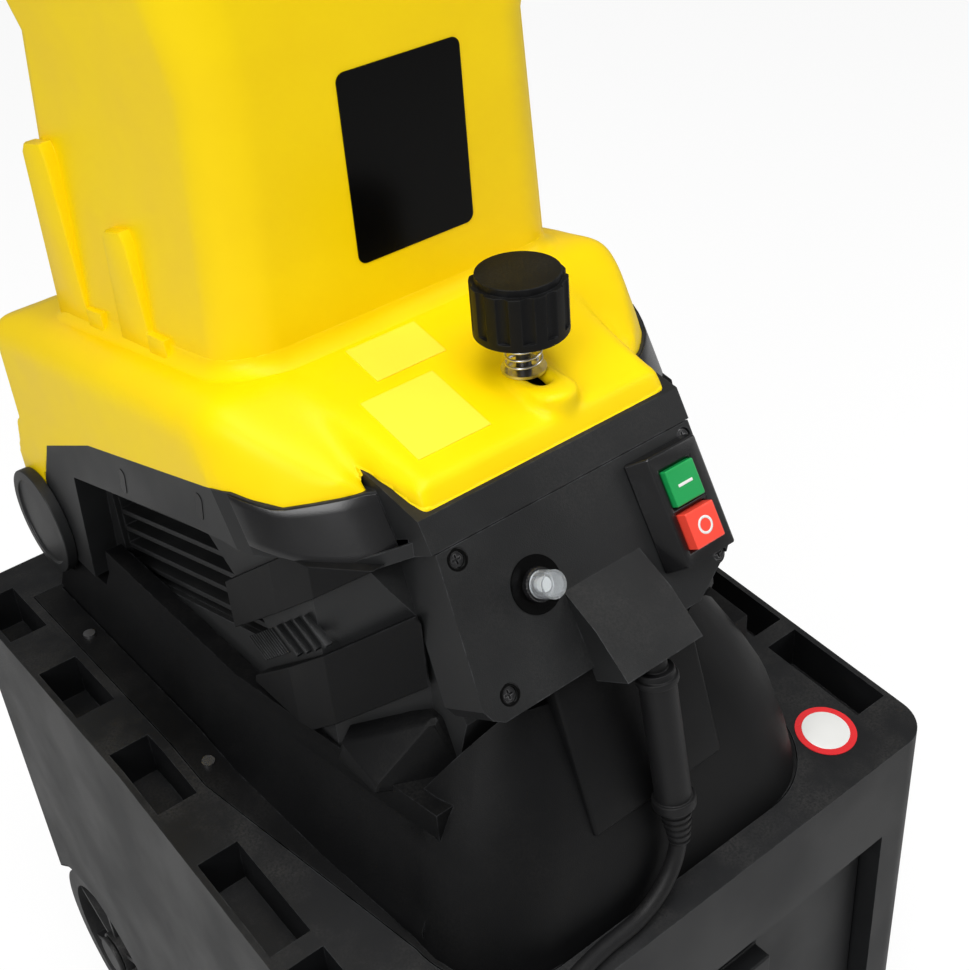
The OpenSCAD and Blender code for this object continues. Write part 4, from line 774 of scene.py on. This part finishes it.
# ---- Side ribs between the corner guards ----
FINE_RIBS = 11
BOLD_RIBS = 4
FINE_PITCH = 3.9
BOLD_PITCH = 14.5
RIB_ROW = ((-32.5, 482), (-0.775, 0.632))     # the row's start and direction [y, z]


def build_side_ribs():
    """A row of fine ribs and four bolder ones on each side wall, slanting up to the front."""
    lean = math.radians(205)
    (start_y, start_z), (along_y, along_z) = RIB_ROW
    ribs = []
    for i in range(FINE_RIBS + BOLD_RIBS):
        fine = i < FINE_RIBS
        along = FINE_PITCH * i if fine else FINE_PITCH * (FINE_RIBS - 1) + BOLD_PITCH * (i - FINE_RIBS + 1)
        y, z = start_y + along_y * along, start_z + along_z * along
        rib = rounded_block((-9, 9) if fine else (-9, 12), (-0.55, 0.55) if fine else (-1.3, 1.3),
                            (-1, 1.2 if fine else 3.4), 0.35, 2)
        rib.matrix_world = Matrix.Translation((y * MM, z * MM, 0)) @ Matrix.Rotation(lean, 4, "Z")
        only(rib)
        fix_place()
        ribs.append(rib)
    place = Matrix.Translation((-122 * MM, 0, 0)) @ SIDE_LEFT
    left = settle(joined(ribs), "side_ribs_left", "stand", "housing_plastic", place)
    settle(copied(left, MIRROR_X), "side_ribs_right", "stand", "housing_plastic")


def build_guard_feet():
    """The lowest step of each corner guard, which stands on the lower housing and turns round to the front."""
    points = [(-126, -118.5, 471.5), (-92, -158, 493), (-72, -160, 490), (-70, -169, 471), (-84, -168, 468),
              (-126, -148.7, 462), (-127, -112, 456), (-127, -148, 456), (-84, -172, 456), (-66, -172, 456),
              (-100, -100, 456), (-66, -130, 456), (-100, -106, 484), (-72, -130, 492)]
    foot = mesh_object("guard_feet", in_metres(points), [])
    edit_all()
    bpy.ops.mesh.convex_hull()
    bpy.ops.mesh.select_all(action="SELECT")
    bpy.ops.mesh.dissolve_limited(angle_limit=math.radians(4))
    bpy.ops.mesh.select_all(action="SELECT")
    bpy.ops.mesh.bevel(offset=1.6 * MM, segments=2, affect="EDGES")
    bpy.ops.object.mode_set(mode="OBJECT")
    left = settle(foot, "guard_feet_left", "stand", "housing_plastic", angle=14)
    right = settle(copied(left, MIRROR_X), "guard_feet_right", "stand", "housing_plastic", angle=14)
    for foot in (left, right):
        dress(foot, "deep_black")


def build_front_pad():
    """The raised pad with sloping flanks on the lower housing, behind the cord sleeve."""
    pad = plate([(-57, -94), (57, -94), (57, 10), (-57, 10)], 13, 0)
    for vertex in pad.data.vertices:
        vertex.select = vertex.co.z > 6 * MM
    bpy.context.tool_settings.mesh_select_mode = (True, False, False)
    bpy.ops.object.mode_set(mode="EDIT")
    bpy.ops.transform.resize(value=(0.83, 1, 1), center_override=(0, 0, 0))
    bpy.ops.mesh.select_all(action="SELECT")
    bpy.ops.mesh.bevel(offset=2.4 * MM, segments=3, affect="EDGES")
    bpy.ops.object.mode_set(mode="OBJECT")
    place = Matrix.Translation((0, -203 * MM, 520 * MM)) @ Matrix(
        ((1, 0, 0), (0, 0.30, -0.954), (0, 0.954, 0.30))).to_4x4() @ Matrix.Translation((0, 0, -13 * MM))
    settle(pad, "front_pad", "stand", "housing_plastic", place)
    dress(pad, "deep_black")


build_side_ribs()
build_guard_feet()
build_front_pad()


# ---- Switch marks, step sign ----
def build_switch_marks():
    bar = rounded_block((-5.0, 5.0), (-0.8, 0.8), (-0.2, 0.25), 0.2, 2)
    settle(bar, "on_mark", "green_key", "button_white", on_panel(57.5, 44, 15))
    deselect()
    bpy.ops.mesh.primitive_torus_add(major_radius=4.2 * MM, minor_radius=0.7 * MM, major_segments=40, minor_segments=8)
    torus = bpy.context.object
    edit_all()
    bpy.ops.transform.resize(value=(1, 1, 0.4), center_override=(0, 0, 0))
    bpy.ops.object.mode_set(mode="OBJECT")
    settle(torus, "off_mark", "red_key", "button_white", on_panel(57.5, 68, 18))


def build_knurled_nut():
    """The breaker's round nut, with a knurled rim."""
    nut = turned([(0.6, 8.3), (1.1, 8.9), (4.4, 8.9), (4.9, 8.3), (4.9, 6.2), (4.2, 6.0)], 72)
    for vertex in nut.data.vertices:
        radius = math.hypot(vertex.co.x, vertex.co.y)
        if radius > 8.6 * MM and round(math.degrees(math.atan2(vertex.co.y, vertex.co.x)) / 5) % 2:
            vertex.co.x *= 0.955
            vertex.co.y *= 0.955
    settle(nut, "knurled_nut", "stand", "black_gloss", on_panel(-39, 55.6), angle=20)
    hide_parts("breaker_nut")


SPRING_TURNS = 4
SPRING_WIRE = 1.6


def build_lock_spring():
    """The knob's coil spring, at one fixed length; it does not shorten as the knob is pressed."""
    low, high = (Vector(corner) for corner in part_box("lock_spring"))
    centre = (low + high) / 2
    wire = SPRING_WIRE / 2 * MM
    deselect()
    bpy.ops.mesh.primitive_circle_add(vertices=12, radius=wire, location=(high.x - centre.x - wire, 0, 0),
                                      rotation=(math.radians(90), 0, 0))
    coil = bpy.context.object
    fix_place()
    screw = coil.modifiers.new("coil", "SCREW")
    screw.angle = math.radians(360)
    screw.screw_offset = (high.z - low.z - 2 * wire) / SPRING_TURNS
    screw.iterations = SPRING_TURNS
    screw.steps = screw.render_steps = 32
    only(coil)
    bpy.ops.object.modifier_apply(modifier="coil")
    edit_all()
    bpy.ops.mesh.remove_doubles(threshold=0.00001)
    bpy.ops.mesh.fill_holes(sides=0)
    close_outwards()
    settle(coil, "spring_coil", "cover", "zinc_steel", Matrix.Translation((centre.x, centre.y, low.z + wire)))
    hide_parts("lock_spring")
    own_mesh(coil)


def build_screw_well_shade():
    """Painted shade: dark, flattened rings round the deep holes that the left screws of the control box sit in."""
    shade_rings = []
    for x, down in ((-74, 25.5), (-76, 97)):
        deselect()
        bpy.ops.mesh.primitive_torus_add(major_radius=5.0 * MM, minor_radius=0.9 * MM, major_segments=36,
                                         minor_segments=8)
        shade_ring = bpy.context.object
        bpy.ops.object.mode_set(mode="EDIT")
        bpy.ops.mesh.select_all(action="SELECT")
        bpy.ops.transform.resize(value=(1, 1, 0.3), center_override=(0, 0, 0))
        bpy.ops.object.mode_set(mode="OBJECT")
        shade_ring.matrix_world = on_panel(x, down)
        only(shade_ring)
        fix_place()
        shade_rings.append(shade_ring)
    # label_dark here is painted shade: the holes' dark insides are laid on as flat dark rings.
    settle(joined(shade_rings), "painted_well_shade", "stand", "label_dark")


def build_step_sign():
    """A plain white disc inside the sign's red rim."""
    low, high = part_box("step_sign")
    centre = (Vector(low) + Vector(high)) / 2
    disc = turned([(-0.3, 14.8), (0.35, 14.8), (0.5, 14.4)], 56)
    slope = math.atan2(high[2] - low[2], high[1] - low[1])
    place = Matrix.Translation(centre) @ Matrix.Rotation(slope, 4, "X")
    settle(disc, "step_sign_face", "stand", "button_white", place)


build_switch_marks()
build_knurled_nut()
build_lock_spring()
build_screw_well_shade()
build_step_sign()


# ---- Room ----
def build_room():
    bpy.ops.mesh.primitive_plane_add(size=90)
    floor = bpy.context.object
    floor.name = "floor"
    material = bpy.data.materials.new("floor")
    material.use_nodes = True
    tree = material.node_tree
    bsdf = tree.nodes["Principled BSDF"]
    bsdf.inputs["Base Color"].default_value = (0.82, 0.82, 0.82, 1)
    bsdf.inputs["Roughness"].default_value = 0.7
    bsdf.inputs["Specular IOR Level"].default_value = 0.1
    glow = tree.nodes.new("ShaderNodeEmission")
    path = tree.nodes.new("ShaderNodeLightPath")
    mix = tree.nodes.new("ShaderNodeMixShader")
    glow.inputs["Strength"].default_value = 1.12
    seen = math_node(tree, "MULTIPLY", path.outputs["Is Camera Ray"], 0.78)
    tree.links.new(seen, mix.inputs[0])
    tree.links.new(bsdf.outputs[0], mix.inputs[1])
    tree.links.new(glow.outputs[0], mix.inputs[2])
    tree.links.new(mix.outputs[0], tree.nodes["Material Output"].inputs["Surface"])
    floor.data.materials.append(material)

    world = bpy.data.worlds.new("studio")
    bpy.context.scene.world = world
    world.use_nodes = True
    tree = world.node_tree
    back = tree.nodes["Background"]
    back.inputs["Color"].default_value = (1, 1, 1, 1)
    path = tree.nodes.new("ShaderNodeLightPath")
    seen = math_node(tree, "MAXIMUM", path.outputs["Is Camera Ray"], path.outputs["Is Transmission Ray"])
    tree.links.new(range_node(tree, seen, 0.0, 1.0, 0.26, 1.0), back.inputs["Strength"])


def add_softbox(name, place, target, size, power):
    bpy.ops.object.light_add(type="AREA", location=place)
    lamp = bpy.context.object
    lamp.name = name
    lamp.data.shape = "RECTANGLE"
    lamp.data.size, lamp.data.size_y = size
    lamp.data.energy = power
    lamp.rotation_euler = (Vector(target) - Vector(place)).to_track_quat("-Z", "Y").to_euler()


CAMERA_PLACE = (-0.39096, -0.62880, 1.01914)
CAMERA_TURN = (-36.22, 34.45, -4.98)        # azimuth, elevation and roll in degrees
CAMERA_LENS = 54.43


def add_camera():
    azimuth, elevation, roll = (math.radians(a) for a in CAMERA_TURN)
    back = Vector((math.sin(azimuth) * math.cos(elevation), -math.cos(azimuth) * math.cos(elevation),
                   math.sin(elevation)))
    right = Vector((math.cos(azimuth), math.sin(azimuth), 0))
    up = back.cross(right)
    turned_right = math.cos(roll) * right + math.sin(roll) * up
    turned_up = -math.sin(roll) * right + math.cos(roll) * up
    data = bpy.data.cameras.new("camera")
    data.sensor_fit = "HORIZONTAL"
    data.sensor_width = 36
    data.lens = CAMERA_LENS
    camera = bpy.data.objects.new("camera", data)
    bpy.context.scene.collection.objects.link(camera)
    camera.matrix_world = Matrix.Translation(CAMERA_PLACE) @ Matrix(
        (turned_right, turned_up, back)).transposed().to_4x4()
    bpy.context.scene.camera = camera


build_room()
add_softbox("top_box", (-0.2, -0.5, 2.6), (0, 0, 0.6), (1.6, 1.6), 36)
add_softbox("left_box", (-2.0, -1.0, 1.9), (0, -0.1, 0.55), (1.1, 1.4), 30)
add_softbox("right_box", (2.1, -1.6, 1.5), (0, -0.1, 0.55), (0.9, 1.6), 14)
add_camera()
bpy.context.scene.view_settings.view_transform = "Standard"
